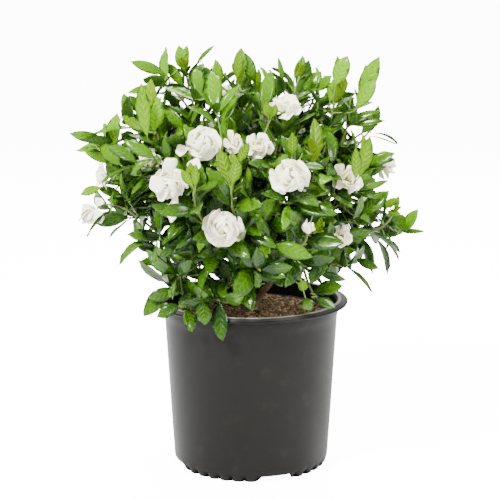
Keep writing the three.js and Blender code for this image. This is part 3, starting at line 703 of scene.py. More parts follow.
def grown(name, mesh, tree, inputs):
    """The plain mesh that a tree of nodes makes from a mesh."""
    carrier = linked(name, mesh)
    modifier = carrier.modifiers.new("tree", "NODES")
    modifier.node_group = tree
    sockets = {s.name: s.identifier for s in tree.interface.items_tree if s.in_out == "INPUT"}
    for label, value in inputs.items():
        modifier[sockets[label]] = value
    evaluated = carrier.evaluated_get(bpy.context.evaluated_depsgraph_get())
    result = bpy.data.meshes.new_from_object(evaluated)
    carrier.modifiers.remove(modifier)
    bpy.data.objects.remove(carrier)
    if not len(result.polygons):
        raise RuntimeError(f"the tree {tree.name} made no faces for {name}")
    return result


def blade_tree():
    """Stands a blade on each point and bends it as the point's attributes say."""
    numbers = dict.fromkeys(("Roundness", "Ripple", "Waves", "Thickness"), "Float")
    sheet = GeometrySheet("blades", {"Blade": "Object", **numbers, "Material": "Material"})
    source = sheet.source
    blade = sheet.add("GeometryNodeObjectInfo", None, {"Object": source.out("Blade")}).out("Geometry")
    points = {"Points": source.out("Geometry"), "Instance": blade}
    stood = sheet.add("GeometryNodeInstanceOnPoints", None, points)
    real = sheet.add("GeometryNodeRealizeInstances", None, {"Geometry": stood})
    plan = sheet.add("ShaderNodeSeparateXYZ", None, {0: sheet.attribute("plan", "FLOAT_VECTOR")})
    share, across, depth = plan.out("X"), plan.out("Y"), plan.out("Z")
    length, half, bend = (sheet.attribute(name) for name in ("length", "half", "bend"))
    fold, phase = sheet.attribute("fold"), sheet.attribute("phase")
    along, face, root = (sheet.attribute(name, "FLOAT_VECTOR") for name in ("along", "face", "root"))

    angle = bend * share
    reach = length / bend
    wave = sheet.math("SINE", source.out("Waves") * (share * 4.0 + across * 3.0) + phase)
    raised = fold * half * (abs(across) ** source.out("Roundness"))
    rippled = wave * source.out("Ripple") * half * share * share
    rise = raised + rippled + depth * source.out("Thickness")
    sine, cosine = sheet.math("SINE", angle), sheet.math("COSINE", angle)
    forward = sheet.scaled(along, (reach + rise) * sine)
    upward = sheet.scaled(face, reach * (cosine - 1.0) + rise * cosine)
    sideways = sheet.scaled(sheet.vector("CROSS_PRODUCT", face, along), across * half)
    position = sheet.vector("ADD", sheet.vector("ADD", root, forward), sheet.vector("ADD", upward, sideways))
    return sheet.finish(sheet.add("GeometryNodeSetPosition", None, {"Geometry": real, "Position": position}))


def stem_tree():
    """Sweeps a round stem along each chain of edges, as thick as its points say."""
    sheet = GeometrySheet("stems", {"Sides": "Int", "Material": "Material"})
    source = sheet.source
    line = sheet.add("GeometryNodeMeshToCurve", None, {"Mesh": source.out("Geometry")})
    circle = {"Resolution": source.out("Sides"), "Radius": 1.0}
    ring = sheet.add("GeometryNodeCurvePrimitiveCircle", {"mode": "RADIUS"}, circle)
    sweep = {"Curve": line, "Profile Curve": ring, "Scale": sheet.attribute("radius"), "Fill Caps": True}
    swept = sheet.add("GeometryNodeCurveToMesh", None, sweep)
    return sheet.finish(swept)


def chip_tree():
    """Scatters bark chips and fibres over the top of the potting mix."""
    sizes = {"Spacing": "Float", "Smallest": "Vector", "Largest": "Vector"}
    sheet = GeometrySheet("chips", {"Chip": "Object", **sizes, "Seed": "Int", "Material": "Material"})
    source = sheet.source
    spots = {
        "Mesh": source.out("Geometry"),
        "Distance Min": source.out("Spacing"),
        "Density Max": 90000.0,
        "Seed": source.out("Seed"),
    }
    points = sheet.add("GeometryNodeDistributePointsOnFaces", {"distribute_method": "POISSON"}, spots)
    lay = {
        "Points": points.out("Points"),
        "Instance": sheet.add("GeometryNodeObjectInfo", None, {"Object": source.out("Chip")}).out("Geometry"),
        "Rotation": sheet.random("FLOAT_VECTOR", (-0.35, -0.35, 0.0), (0.35, 0.35, 6.283)),
        "Scale": sheet.random("FLOAT_VECTOR", source.out("Smallest"), source.out("Largest")),
    }
    laid = sheet.add("GeometryNodeInstanceOnPoints", None, lay)
    settings = {"data_type": "FLOAT", "domain": "INSTANCE"}
    age = {"Geometry": laid, "Name": "age", "Value": sheet.random("FLOAT", 0.0, 1.0)}
    return sheet.finish(sheet.add("GeometryNodeStoreNamedAttribute", settings, age))


# ------------------------------------------------------------------ finishes


def paint(text):
    """A colour as it is written on a paint card, made linear."""
    values = [int(text[i : i + 2], 16) / 255 for i in (1, 3, 5)]
    linear = [v / 12.92 if v <= 0.04045 else ((v + 0.055) / 1.055) ** 2.4 for v in values]
    return (*linear, 1.0)


class Finish(Sheet):
    """A material with one principled shader."""

    def __init__(self, name, constants):
        self.material = bpy.data.materials.new(name)
        self.material.use_nodes = True
        self.material.node_tree.nodes.clear()
        super().__init__(self.material.node_tree)
        self.shader = self.add("ShaderNodeBsdfPrincipled", None, constants)
        self.end = self.add("ShaderNodeOutputMaterial", None, {"Surface": self.shader})

    def link(self, value, name):
        self.tree.links.new(value.socket, self.shader.node.inputs[name])

    def place(self):
        return self.add("ShaderNodeTexCoord").out("Object")

    def blade_plan(self):
        """How far along its blade a place is, and how far across it, both from 0 to 1."""
        plan = self.add("ShaderNodeUVMap", {"uv_map": "blade"})
        split = self.add("ShaderNodeSeparateXYZ", None, {0: plan})
        return split.out("X"), split.out("Y")

    def attribute(self, name):
        return self.add("ShaderNodeAttribute", {"attribute_name": name}).out("Fac")

    def grain(self, scale, detail=3.0, stretch=None):
        place = self.place()
        if stretch:
            place = self.add("ShaderNodeMapping", None, {"Vector": place, "Scale": stretch})
        inputs = {"Vector": place, "Scale": scale, "Detail": detail}
        return self.add("ShaderNodeTexNoise", None, inputs).out("Fac")

    def lay_painted_shade(self, share, colour):
        """Lays a dull layer of painted shade over the surface, by its share at each place."""
        dull = {"Base Color": colour, "Roughness": 1.0, "Specular IOR Level": 0.0}
        shade_layer = self.add("ShaderNodeBsdfPrincipled", None, dull)
        both = self.add("ShaderNodeMixShader", None, {0: share, 1: self.shader, 2: shade_layer})
        self.tree.links.new(both.socket, self.end.node.inputs["Surface"])

    def set(self, colour, roughness, height, relief, strength):
        """Links what varies over the surface. Relief is the depth of the bumps in metres."""
        bump = {"Height": height, "Distance": relief, "Strength": strength}
        self.link(colour, "Base Color")
        self.link(roughness, "Roughness")
        self.link(self.add("ShaderNodeBump", None, bump), "Normal")
        return self.material


# What tells one kind of leaf from another: the colours of its underside and its ribs, its shine and
# its dullness, its count of side veins, the depth of its relief in metres, and how far its ribs
# show on the oldest leaf.
LeafKind = namedtuple("LeafKind", "name under rib shine dull veins relief rib_share")
FULL_LEAF = LeafKind(
    "leaf_green", (0.03, 0.075, 0.012, 1), (0.19, 0.32, 0.01, 1), 0.34, 0.24, 7.0, 0.0016, 0.1
)
YOUNG_LEAF = LeafKind(
    "young_leaf", (0.08, 0.14, 0.004, 1), (0.22, 0.34, 0.0, 1), 0.06, 0.38, 6.0, 0.002, 0.5
)


def leaf_finish(kind, old, young, lime):
    """A leaf: its age turns it from old to young, and past that to lime, and painted shade darkens it
    towards its base. Its veins are paler, and its underside is dull."""
    finish = Finish(kind.name, {"Coat Roughness": 0.14, "Specular IOR Level": 0.05})
    share, width = finish.blade_plan()
    across = abs(width * 2.0 - 1.0)
    age, back = finish.attribute("age"), finish.attribute("under")
    cloudy = finish.grain(35.0)
    swell = finish.math("COSINE", (share * kind.veins - across * 1.5) * math.tau) * 0.5 + 0.5
    side_vein = (swell**3.0) * finish.clamp(1.15 - across)
    midrib = finish.clamp(1.0 - across * 11.0)
    veined = finish.clamp(side_vein * 0.7 + midrib * 0.9)
    # Painted shade: besides the leaf's age and a random tone, each leaf is painted darker towards its base.
    age_and_base_shade = age + cloudy * 0.5 + share * 0.3 - 0.4
    shine = kind.shine * (1.0 - finish.clamp(age - 0.4) * 0.8) * (1.0 - back * 0.7)
    finish.link(shine, "Coat Weight")
    green = finish.mix(finish.clamp(age_and_base_shade - 1.0), finish.mix(finish.clamp(age_and_base_shade), old, young), lime)
    shown = finish.clamp(age) * 0.25 + finish.clamp(age - 0.9) * 0.45 + kind.rib_share
    colour = finish.mix(back * 0.8, finish.mix(veined * shown, green, kind.rib), kind.under)
    roughness = kind.dull + cloudy * 0.12 + back * 0.25
    height = 1.0 - side_vein * 0.8 - midrib
    return finish.set(colour, roughness, height, kind.relief, 0.6)


def petal_finish():
    glow = {"Subsurface Weight": 0.3, "Subsurface Scale": 0.004, "Subsurface Radius": (1.0, 0.9, 0.75)}
    finish = Finish("petal_white", glow)
    share, across = finish.blade_plan()
    cloudy = finish.grain(60.0)
    vein = finish.math("SINE", across * 70.0 + cloudy * 5.0) * 0.5 + 0.5
    base = finish.clamp(1.0 - share * 2.4)
    white = finish.mix(cloudy * 0.5, paint("#fffbdc"), paint("#fef5cf"))
    colour = finish.mix(base * 0.3, white, paint("#f0edcf"))
    return finish.set(colour, 0.5 + cloudy * 0.15, vein * 0.3 + cloudy, 0.0003, 0.2)


def plastic_finish(look):
    """Dull plastic with dust on it, a painted highlight on the lip, painted shade in the flutes, and a
    painted contact shadow along the bottom of the foot.
    """
    finish = Finish("pot_plastic", {"Specular IOR Level": 0.1})
    streak = finish.grain(6.0, 4.0, (1.0, 1.0, 0.25))
    fine = finish.grain(900.0, 2.0)
    dust = finish.clamp(finish.grain(38.0, 6.0) * 3.0 - 1.75)
    body = finish.mix(streak, tuple(look.colour), paint("#12110f"))
    place = finish.add("ShaderNodeSeparateXYZ", None, {0: finish.place()})
    height = place.out("Z")
    reach = finish.vector("LENGTH", finish.vector("MULTIPLY", finish.place(), (1.0, 1.0, 0.0))).out("Value")
    # Painted highlight: a faint pale band over the lip and a bright line along its top edge, where the rolled
    # lip catches the light.
    lip = finish.clamp((reach - (POT_RADIUS - 15.0) * MM) * 2000.0)
    lip = lip * finish.clamp((height - (POT_TOP - 2.6) * MM) * 2000.0)
    edge = finish.clamp((height - (POT_TOP - 0.9) * MM) * 4000.0)
    turn = finish.math("ARCTAN2", place.out("Y"), place.out("X"))
    wave = 0.5 - finish.math("COSINE", turn * float(FLUTES)) * 0.5
    # Painted shade: the flutes' hollows are darkened, most near the foot, where shade falls in them.
    groove_shade = (wave**2.0) * finish.clamp(1.5 - height * 130.0) * finish.clamp((reach - 0.1) * 400.0)
    # The dark layer is painted shade in the flutes and a painted contact shadow over the lowest few
    # millimetres of the pot.
    finish.lay_painted_shade(finish.clamp(groove_shade + finish.clamp(1.2 - height * 400.0)) * 0.92, paint("#020202"))
    # The lip's paler colour is a painted highlight.
    lightened = finish.mix(finish.clamp(lip * 0.12 + edge * 0.8), body, paint("#8b8984"))
    colour = finish.mix(dust * 0.03, lightened, paint("#8a8378"))
    return finish.set(colour, look.roughness + streak * 0.08 + dust * 0.05, fine, 0.00012, 0.3)


def soil_finish():
    finish = Finish("potting_mix", {})
    coarse, fine = finish.grain(90.0, 6.0), finish.grain(420.0, 4.0)
    dark = finish.mix(coarse, paint("#23170c"), paint("#45351c"))
    colour = finish.mix(finish.clamp(fine * 2.5 - 1.1), dark, paint("#745a36"))
    return finish.set(colour, 0.9 + fine * 0.1, coarse * 0.7 + fine * 0.4, 0.003, 0.9)


def chip_finish():
    finish = Finish("bark_chip", {})
    fine = finish.grain(500.0, 4.0, (1.0, 1.0, 3.0))
    lightened = finish.mix(finish.attribute("age"), paint("#27190d"), paint("#9a7f4f"))
    colour = finish.mix(fine * 0.5, lightened, paint("#5f3f28"))
    return finish.set(colour, 0.8 + fine * 0.15, fine, 0.0008, 0.7)


def bark_finish():
    finish = Finish("bark", {})
    long_grain = finish.grain(160.0, 5.0, (1.0, 1.0, 0.3))
    patches = finish.grain(30.0, 3.0)
    brown = finish.mix(long_grain, paint("#3a2c1f"), paint("#7d6a50"))
    colour = finish.mix(finish.clamp(patches * 2.0 - 0.9), brown, paint("#8d8470"))
    return finish.set(colour, 0.75 + patches * 0.15, long_grain, 0.0012, 0.7)


def green_stem_finish():
    finish = Finish("green_stem", {})
    fine = finish.grain(220.0, 3.0)
    green = finish.mix(finish.attribute("age"), paint("#5d4a2c"), paint("#4d7a22"))
    colour = finish.mix(fine * 0.5, green, paint("#6a6a35"))
    return finish.set(colour, 0.5 + fine * 0.2, fine, 0.0005, 0.4)


def stamen_finish():
    finish = Finish("stamen", {})
    fine = finish.grain(700.0, 3.0)
    colour = finish.mix(fine, paint("#e6d48a"), paint("#c9a94e"))
    return finish.set(colour, 0.6 + fine * 0.2, fine, 0.0003, 0.5)


# ------------------------------------------------------------------ pieces

# How thick the dressed leaves and petals are, in metres.
BLADE_THICKNESS = 0.0006
PETAL_THICKNESS = 0.0007


def blade_points(blades):
    """A cloud of points, one for each blade, that carries what the blade tree reads, in metres."""
    mesh = bpy.data.meshes.new("blades")
    mesh.from_pydata([blade.root * MM for blade in blades], [], [])
    for name in ("root", "length", "half"):
        store(mesh, name, [getattr(blade, name) * MM for blade in blades])
    for name in ("along", "face", "bend", "fold", "age", "phase"):
        store(mesh, name, [getattr(blade, name) for blade in blades])
    return mesh


def stem_points(stems):
    """Chains of points, one for each stem: each stem is a list of places and radii, and an age."""
    mesh = bpy.data.meshes.new("stems")
    places, edges, radii, ages = [], [], [], []
    for points, age in stems:
        first = len(places)
        for place, radius in points:
            places.append(place * MM)
            radii.append(radius * MM)
            ages.append(age)
        edges += [(i, i + 1) for i in range(first, len(places) - 1)]
    mesh.from_pydata(places, edges, [])
    store(mesh, "radius", radii)
    store(mesh, "age", ages)
    return mesh


def grown_blades(tree, shape, material, blades, roundness, ripple, waves, thickness=BLADE_THICKNESS):
    numbers = {"Roundness": roundness, "Ripple": ripple, "Waves": waves, "Thickness": thickness}
    return grown("blades", blade_points(blades), tree, {"Blade": shape, **numbers, "Material": material})


def grown_stems(tree, sides, material, stems):
    return grown("stems", stem_points(stems), tree, {"Sides": sides, "Material": material})


def joined(name, meshes):
    """One mesh of several, in which each keeps its own material. What only the trees read goes."""
    whole = bmesh.new()
    for k, mesh in enumerate(meshes):
        mesh.polygons.foreach_set("material_index", [k] * len(mesh.polygons))
        mesh.polygons.foreach_set("use_smooth", [True] * len(mesh.polygons))
        whole.from_mesh(mesh)
    result = plain_mesh(name, whole)
    for mesh in meshes:
        result.materials.append(next(m for m in mesh.materials if m))
    for used in ("root", "along", "face", "length", "half", "bend", "fold", "phase", "plan", "radius"):
        if used in result.attributes:
            result.attributes.remove(result.attributes[used])
    return result


def add_piece(name, mesh, nodes=()):
    """A finished piece of the plant, which rides on the one body and stands for its nodes."""
    piece = linked(name, mesh)
    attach(piece, "root")
    if nodes:
        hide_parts(*nodes)


def turned_mesh(name, profile, segments, move):
    """A shape turned about +Z from a profile of radius and height. Its ends lie on the axis, and
    each place off the axis is moved as told."""
    mesh = bmesh.new()
    rings = []
    for radius, height in profile:
        if radius == 0:
            rings.append([mesh.verts.new((0, 0, height * MM))] * segments)
            continue
        ring = []
        for k in range(segments):
            turn = math.tau * k / segments
            place = Vector((radius * math.cos(turn), radius * math.sin(turn), height))
            ring.append(mesh.verts.new(move(place) * MM))
        rings.append(ring)
    for low, high in zip(rings, rings[1:]):
        for k in range(segments):
            n = (k + 1) % segments
            corners = list(dict.fromkeys((low[k], low[n], high[n], high[k])))
            if len(corners) > 2:
                mesh.faces.new(corners).smooth = True
    return plain_mesh(name, mesh)


def arc(centre, radius, first, last, steps):
    """Points on a round edge of a profile, from one angle to another in degrees."""
    turns = [math.radians(first + (last - first) * k / steps) for k in range(steps + 1)]
    return [(centre[0] + radius * math.cos(t), centre[1] + radius * math.sin(t)) for t in turns]


def pot_profile():
    """The pot's outline, out under its floor and its foot ring, up its outside, over the lip, and
    down its inside to the middle of its floor."""
    lip, top = POT_RADIUS, POT_TOP
    under_rim = top - 6.1
    pad = [(0, 0), (PAD_RADIUS - 0.5, 0), (PAD_RADIUS, 0.5), (PAD_RADIUS + 2, FLOOR_UNDER)]
    outside = [
        (FOOT_RADIUS - 8.5, FLOOR_UNDER),
        (FOOT_RADIUS - 7.5, 0.4),
        (FOOT_RADIUS - 6.5, 0),
        (FOOT_RADIUS - 0.8, 0),
        (FOOT_RADIUS, 0.8),
        (FOOT_RADIUS + 1.4, 5),
        (BASE_RADIUS, FLUTE_TOP),
        (BASE_RADIUS + 0.4, 16),
        (BASE_RADIUS + 3.2, 60),
        (BASE_RADIUS + 6.2, 112),
        (BASE_RADIUS + 9.2, 164),
        (lip - 15.6, top - 33),
        (lip - 15.0, top - 22.4),
        (lip - 14.3, top - 20.8),
        (lip - 13.9, top - 14),
        (lip - 13.3, under_rim - 1.2),
        (lip - 11.6, under_rim),
        (lip - 4.0, under_rim + 0.9),
        (lip - 2.6, under_rim - 0.3),
    ]
    roll = arc((lip - 1.9, under_rim + 2.0), 1.9, -70, 70, 6)
    inside = [
        (lip - 3.2, top - 1.6),
        (lip - 9.0, top - 0.9),
        (lip - 12.6, top - 0.1),
        (lip - 13.6, top),
        (lip - 14.4, top - 0.5),
        (MOUTH_RADIUS + 0.9, under_rim + 2),
        (MOUTH_RADIUS, under_rim - 1),
        (MOUTH_RADIUS - 4.0, 150),
        (BASE_RADIUS - WALL + 3, 60),
        (BASE_RADIUS - WALL, FLOOR_TOP),
        (0, FLOOR_TOP),
    ]
    return pad + outside + roll + inside


def flute(place):
    """Draws the foot of the wall in between its flutes."""
    radius = math.hypot(place.x, place.y)
    share = 1 - place.z / FLUTE_TOP
    if share <= 0 or radius < FOOT_RADIUS - 2:
        return place
    wave = 0.5 - 0.5 * math.cos(FLUTES * math.atan2(place.y, place.x))
    pull = 1 - FLUTE_DEPTH * wave**3 * share**0.35 / radius
    return Vector((place.x * pull, place.y * pull, place.z))


def slot_cutters():
    """Four tapering blocks that cut the drain slots through the foot, in one mesh."""
    mesh = bmesh.new()
    outer, inner = BASE_RADIUS + 6, BASE_RADIUS - SLOT_DEPTH
    shoulder = SLOT_HEIGHT - 1.6
    outline = (
        (-SLOT_HALF_FOOT, -1), (SLOT_HALF_FOOT, -1),
        (SLOT_HALF_TOP + 1.2, shoulder), (SLOT_HALF_TOP - 1.2, SLOT_HEIGHT),
        (-SLOT_HALF_TOP + 1.2, SLOT_HEIGHT), (-SLOT_HALF_TOP - 1.2, shoulder),
    )
    for i in range(SLOT_COUNT):
        turn = Quaternion(UP, SLOT_TURN + math.tau * i / SLOT_COUNT)
        front, back = (
            [mesh.verts.new((turn @ Vector((x, -reach, z))) * MM) for x, z in outline]
            for reach in (outer, inner)
        )
        mesh.faces.new(front)
        mesh.faces.new(list(reversed(back)))
        for k in range(len(outline)):
            n = (k + 1) % len(outline)
            mesh.faces.new((front[n], front[k], back[k], back[n]))
    bmesh.ops.recalc_face_normals(mesh, faces=mesh.faces)
    return plain_mesh("slot_cutters", mesh)


def build_pot(look):
    body = linked("pot_blank", turned_mesh("pot", pot_profile(), look.segments, flute))
    cutters = linked("pot_cutters", slot_cutters())
    cut = body.modifiers.new("slots", "BOOLEAN")
    cut.operation, cut.solver, cut.object = "DIFFERENCE", "EXACT", cutters
    evaluated = body.evaluated_get(bpy.context.evaluated_depsgraph_get())
    mesh = bpy.data.meshes.new_from_object(evaluated)
    for part in (body, cutters):
        bpy.data.objects.remove(part)
    mesh.materials.clear()
    mesh.materials.append(plastic_finish(look))
    mesh.set_sharp_from_angle(angle=math.radians(38))
    add_piece("nursery_pot", mesh, ["pot"])


def soil_profile():
    """The mix, from the middle of its underside out, up the wall, and in over its top."""
    rings = [SOIL_RADIUS - 1.2 * k for k in range(1, 6)]
    rings += [SOIL_RADIUS - 6 - 4.2 * k for k in range(1, 27)]
    top = [(radius, SOIL_LEVEL - 0.6) for radius in rings if radius > 1]
    return [
        (0, 7.4),
        (108.9, 7.4),
        (SOIL_RADIUS - 0.2, SOIL_LEVEL - 6),
        (SOIL_RADIUS, SOIL_LEVEL - 3.4),
        (SOIL_RADIUS - 0.6, SOIL_LEVEL - 1.6),
        *top,
        (0, SOIL_LEVEL),
    ]


def soil_lump(place):
    """Heaps the mix a little towards the plant, and roughens it."""
    if place.z < SOIL_LEVEL - 4:
        return place
    radius = math.hypot(place.x, place.y)
    here = Vector((place.x, place.y, 0))
    heap = 4 * max(0, 1 - radius / 110) ** 1.5
    lumps = 2.4 * noise.fractal(here * 0.035, 0.8, 2.2, 4) + 1.2 * noise.noise(here * 0.19)
    return Vector((place.x, place.y, place.z + (heap + lumps) * min(1, (122 - radius) / 8)))


def chip_bed(mesh):
    """The part of the mix's top that chips may lie on."""
    top = bmesh.new()
    top.from_mesh(mesh)
    low, reach = (SOIL_LEVEL - 3) * MM, 106 * MM
    middles = [(face, face.calc_center_median()) for face in top.faces]
    bare = [face for face, middle in middles if middle.z < low or middle.xy.length > reach]
    bmesh.ops.delete(top, geom=bare, context="FACES")
    return plain_mesh("bed", top)


def chip_shape(name, lift):
    """A rough block one long, to be stretched into a chip of bark or a fibre."""
    shape = bmesh.new()
    bmesh.ops.create_icosphere(shape, subdivisions=1, radius=0.5)
    for i, vertex in enumerate(shape.verts):
        vertex.co *= 1 + spread(0.35, 40, i)
        vertex.co.z += lift * 0.2
    return bpy.data.objects.new(name, plain_mesh(name, shape))


def build_soil(look):
    mesh = turned_mesh("potting_mix", soil_profile(), 96, soil_lump)
    mesh.materials.append(soil_finish())
    add_piece("potting_mix", mesh, ["soil"])
    bed, material, tree = chip_bed(mesh), chip_finish(), chip_tree()
    scattered = []
    for seed, (name, lift, spacing, smallest, largest) in enumerate(SCATTER, SEED):
        inputs = {"Chip": chip_shape(name, lift), "Spacing": look.chip_spacing * spacing, "Seed": seed}
        inputs |= {"Smallest": smallest, "Largest": largest, "Material": material}
        scattered.append(grown(name, bed.copy(), tree, inputs))
    add_piece("bark_chips", joined("bark_chips", scattered))


def rough(points, amount, *keys):
    """The same places, with their radii a little uneven."""
    return [(place, r * (1 + spread(amount, *keys, k))) for k, (place, r) in enumerate(points)]


def build_wood(look):
    stems = [([(UP * height, radius) for height, radius in TRUNK], 0.0)]
    for i, main in enumerate(MAIN_STEMS):
        stems.append((rough(sampled(main, MAIN_RADII, 14), 0.07, 50, i), 0.0))
    for branch in PLANT:
        stems.append((rough(sampled(branch.limb, LIMB_RADII, 8), 0.06, 51, branch.number), 0.2))
    wood = grown_stems(stem_tree(), look.sides, bark_finish(), stems)
    add_piece("woody_stems", joined("woody_stems", [wood]), ["woody_limbs"])


# ------------------------------------------------------------------ leaves

# Turns between the leaves round a twig, and the distance between side twigs.
QUARTER, HALF, FIFTH = 1.57, 3.14, 1.26
TWIG_SPACING = 24
# The room inside the crown in which side twigs end: its middle, and its reach to the sides, to the
# front and back, down and up. Above these heights twigs and leaves stand further apart.
WIDEST_MIDDLE = Vector((0, 0, 400))
TWIG_ROOM = (225, 190, 145, 175)
THIN_TWIGS_FROM = 480
THIN_LEAVES_FROM = 475
# The bare stretch of the mix, as seen from the front. To its left, leaves hang over the rim.
BARE_LEFT, BARE_RIGHT, BARE_TOP = -8, 90, 251
# Over the pot and its rim: the least height of a leaf, and of one that hangs.
RIM_REACH, LEAST_OVER_RIM, HANGING_OVER_RIM = 144, 249, 246
# Anywhere: the least height of one that hangs, and of any other, which rises past the pot's mouth.
LEAST_HANGING, LEAST, LEAST_RISE, MOUTH_REACH = 228, 255, 0.9, 125
# How long a leaf is in a pair along a twig, at a twig's end, at a side twig's end and half way
# along a side twig.
PAIR_LEAF, END_LEAF, SPUR_END_LEAF, SPUR_LEAF = 58, 44, 56, 54


def unseen(spot, depth):
    """The place which is seen, from the front, at a spot on the upright plane through the pot's
    middle, when it stands some depth behind that plane."""
    share = (VIEWER.y - depth) / VIEWER.y
    return Vector((spot[0] * share, depth, VIEWER.z + (spot[1] - VIEWER.z) * share))


def seen(place):
    """Where a place stands on the upright plane through the pot's middle, from the front."""
    share = VIEWER.y / (VIEWER.y - place.y)
    return place.x * share, VIEWER.z + (place.z - VIEWER.z) * share


def loose_vector(amount, first, *keys):
    return Vector([spread(amount, first, axis, *keys) for axis in range(3)])


def marked_blade(mark, number):
    """The leaf or petal of a mark, which turns its face forward and up."""
    root, tip = unseen(mark.root, mark.depth), unseen(mark.tip, mark.depth - 4 + spread(8, 50, number))
    along = (tip - root).normalized()
    face = square_to(along, Vector((0, -1, 0.4)) + loose_vector(0.4, 51, number))
    length = (tip - root).length * 1.03
    bend = 0.3 + spread(0.25, 52, number)
    along = (along + face * 0.5 * bend).normalized()
    fold, phase = 0.2 + spread(0.12, 53, number), math.tau * draw(54, number)
    return Blade(root, along, square_to(along, face), length, mark.half, bend, fold, mark.age, phase)


def twig_view(twig):
    """Balls of free room round and before a bloom or a shoot, as centres and radii."""
    at, size = twig.at, twig.size
    if twig.bears == "bloom":
        outward = Vector((0, -1, 0.12)) if at.y < 40 else twig.toward
        near = [(at, size * 0.95), (at + twig.toward * size, size * 0.85)]
        return near + [(at + outward * size * k, size * 0.8) for k in (1.2, 2.2, 3.4)]
    if twig.bears == "shoot":
        middle = at + twig.toward * size * 0.6
        outward = Vector((0, -1, 0.1)) if at.y < 60 else Vector((0, 0.6, 1))
        return [(middle + outward * 14 * k, size * 0.32) for k in range(4)]
    return []


def mark_view(mark):
    """Balls of free room before a marked leaf."""
    root, tip = unseen(mark.root, mark.depth), unseen(mark.tip, mark.depth)
    reach = (tip - root).length * (0.4 if mark.age > 1 else 0.25)
    return [((root + tip) / 2 + Vector((0, -1, 0.1)) * 13 * k, reach) for k in (1, 2)]


OPEN_VIEWS = [ball for branch in PLANT for twig in branch.twigs for ball in twig_view(twig)]
OPEN_VIEWS += [ball for mark in MARKED_LEAVES for ball in mark_view(mark)]


def is_open(place):
    """True where a leaf may be: out of the pot and the mix, off the bare mix in front, clear of the
    blooms and inside the crown."""
    radius = math.hypot(place.x, place.y)
    x, z = seen(place)
    hanging = x < BARE_LEFT and place.y < -30
    if radius < RIM_REACH and place.z < (HANGING_OVER_RIM if hanging else LEAST_OVER_RIM):
        return False
    if place.z < (LEAST_HANGING if hanging else LEAST + LEAST_RISE * max(0, radius - MOUTH_REACH)):
        return False
    if BARE_LEFT < x < BARE_RIGHT and z < BARE_TOP:
        return False
    if any((place - at).length < reach for at, reach in OPEN_VIEWS):
        return False
    inside = all(FRAME_LOW[k] < place[k] * MM < FRAME_HIGH[k] for k in range(3))
    return inside and in_outline(place)


def in_outline(place):
    """True inside the crown's outline, from the front."""
    x, z = seen(place)
    inside = False
    for (x0, z0), (x1, z1) in zip(CROWN_OUTLINE, CROWN_OUTLINE[1:] + CROWN_OUTLINE[:1]):
        if (z0 > z) != (z1 > z) and x < x0 + (x1 - x0) * (z - z0) / (z1 - z0):
            inside = not inside
    return inside


def in_crown(place):
    """True for the end of a side twig that leaves room for its leaves inside the crown's outline."""
    away = place - WIDEST_MIDDLE
    wide, deep, down, up = TWIG_ROOM
    share = (away.x / wide) ** 2 + (away.y / deep) ** 2 + (away.z / (down if away.z < 0 else up)) ** 2
    return share < 1 and in_outline(place + 0.12 * away)


class Foliage:
    """Keeps the middles of the leaves that stand, so that further ones fill the room between, and
    the tips of the twigs."""

    def __init__(self):
        self.middles = []
        self.tips = [curve[3] for branch in PLANT for curve in branch.curves]

    def stand(self, blade):
        self.middles.append(blade_point(blade, 0.6))

    def has_room(self, blade, room):
        here = blade_point(blade, 0.6)
        if not all(is_open(blade_point(blade, share)) for share in (0.3, 0.65, 0.95)):
            return False
        apart = room * (1.3 if here.z > THIN_LEAVES_FROM else 1)
        return all((here - other).length > apart for other in self.middles)


def extra_leaf(curve, t, turn, size, keys):
    """A leaf at a place on a twig, which turns its face outward and up."""
    tangent, across, up = curve_frame(curve, t)
    outward = across * math.cos(turn) + up * math.sin(turn)
    lean = 1.15 - 0.35 * t + spread(0.25, 61, *keys)
    middle = curve_point(curve, t)
    high = clamped((middle.z - 440) / 80)
    along = (tangent * math.cos(lean) + outward * math.sin(lean) + UP * 0.55 * high).normalized()
    look = (middle - CROWN_MIDDLE).normalized() + 0.35 * tangent + 0.4 * UP + loose_vector(0.55, 60, *keys)
    length = size * (0.92 + 0.12 * high + spread(0.28, 62, *keys))
    return Blade(
        middle + outward * 1.2,
        along,
        square_to(along, look),
        length,
        length * (0.185 - 0.04 * high + spread(0.025, 63, *keys)),
        0.5 + spread(0.4, 64, *keys),
        0.2 + spread(0.15, 65, *keys),
        leaf_age(middle, *keys),
        math.tau * draw(66, *keys),
    )


def leaf_age(place, *keys):
    """Leaves are younger and brighter towards the outside and the top of the crown, partly by age and
    partly as painted light: the crown's middle and bottom are painted dark as shade, and its sides
    are painted brighter as light that passes there.
    """
    out = min(1, (place - CROWN_MIDDLE).length / 230)
    high = clamped((place.z - 390) / 150)
    # Painted light: leaves towards either side of the crown are made brighter.
    wide = clamped((abs(place.x) - 70) / 100)
    new = 0.5 * high * (0.3 + draw(68, *keys)) + (0.4 + 0.5 * high) * draw(67, *keys) ** 4
    return out * (0.03 + 0.14 * wide + new)


def side_twigs(branch, foliage):
    """Short side twigs that fill the room between the frame's own twigs."""
    found = []
    lines = [(branch.limb, 0.55)] + [(curve, 0.2) for curve in branch.curves]
    for k, (curve, first) in enumerate(lines):
        count = max(1, round(curve_length(curve) * (1 - first) / TWIG_SPACING))
        for n in range(count):
            t = first + (0.97 - first) * (n + 0.5) / count
            for attempt in range(3):
                keys = (branch.number, k, n, attempt)
                spur = side_twig(curve, t, 2.4 * (n + 2 * attempt), keys)
                end = spur[3]
                if not in_crown(end) or not is_open(end):
                    continue
                apart = 35 if end.z > THIN_TWIGS_FROM else 27
                if any((end - tip).length < apart for tip in foliage.tips):
                    continue
                foliage.tips.append(end)
                found.append((spur, keys))
                break
    return found


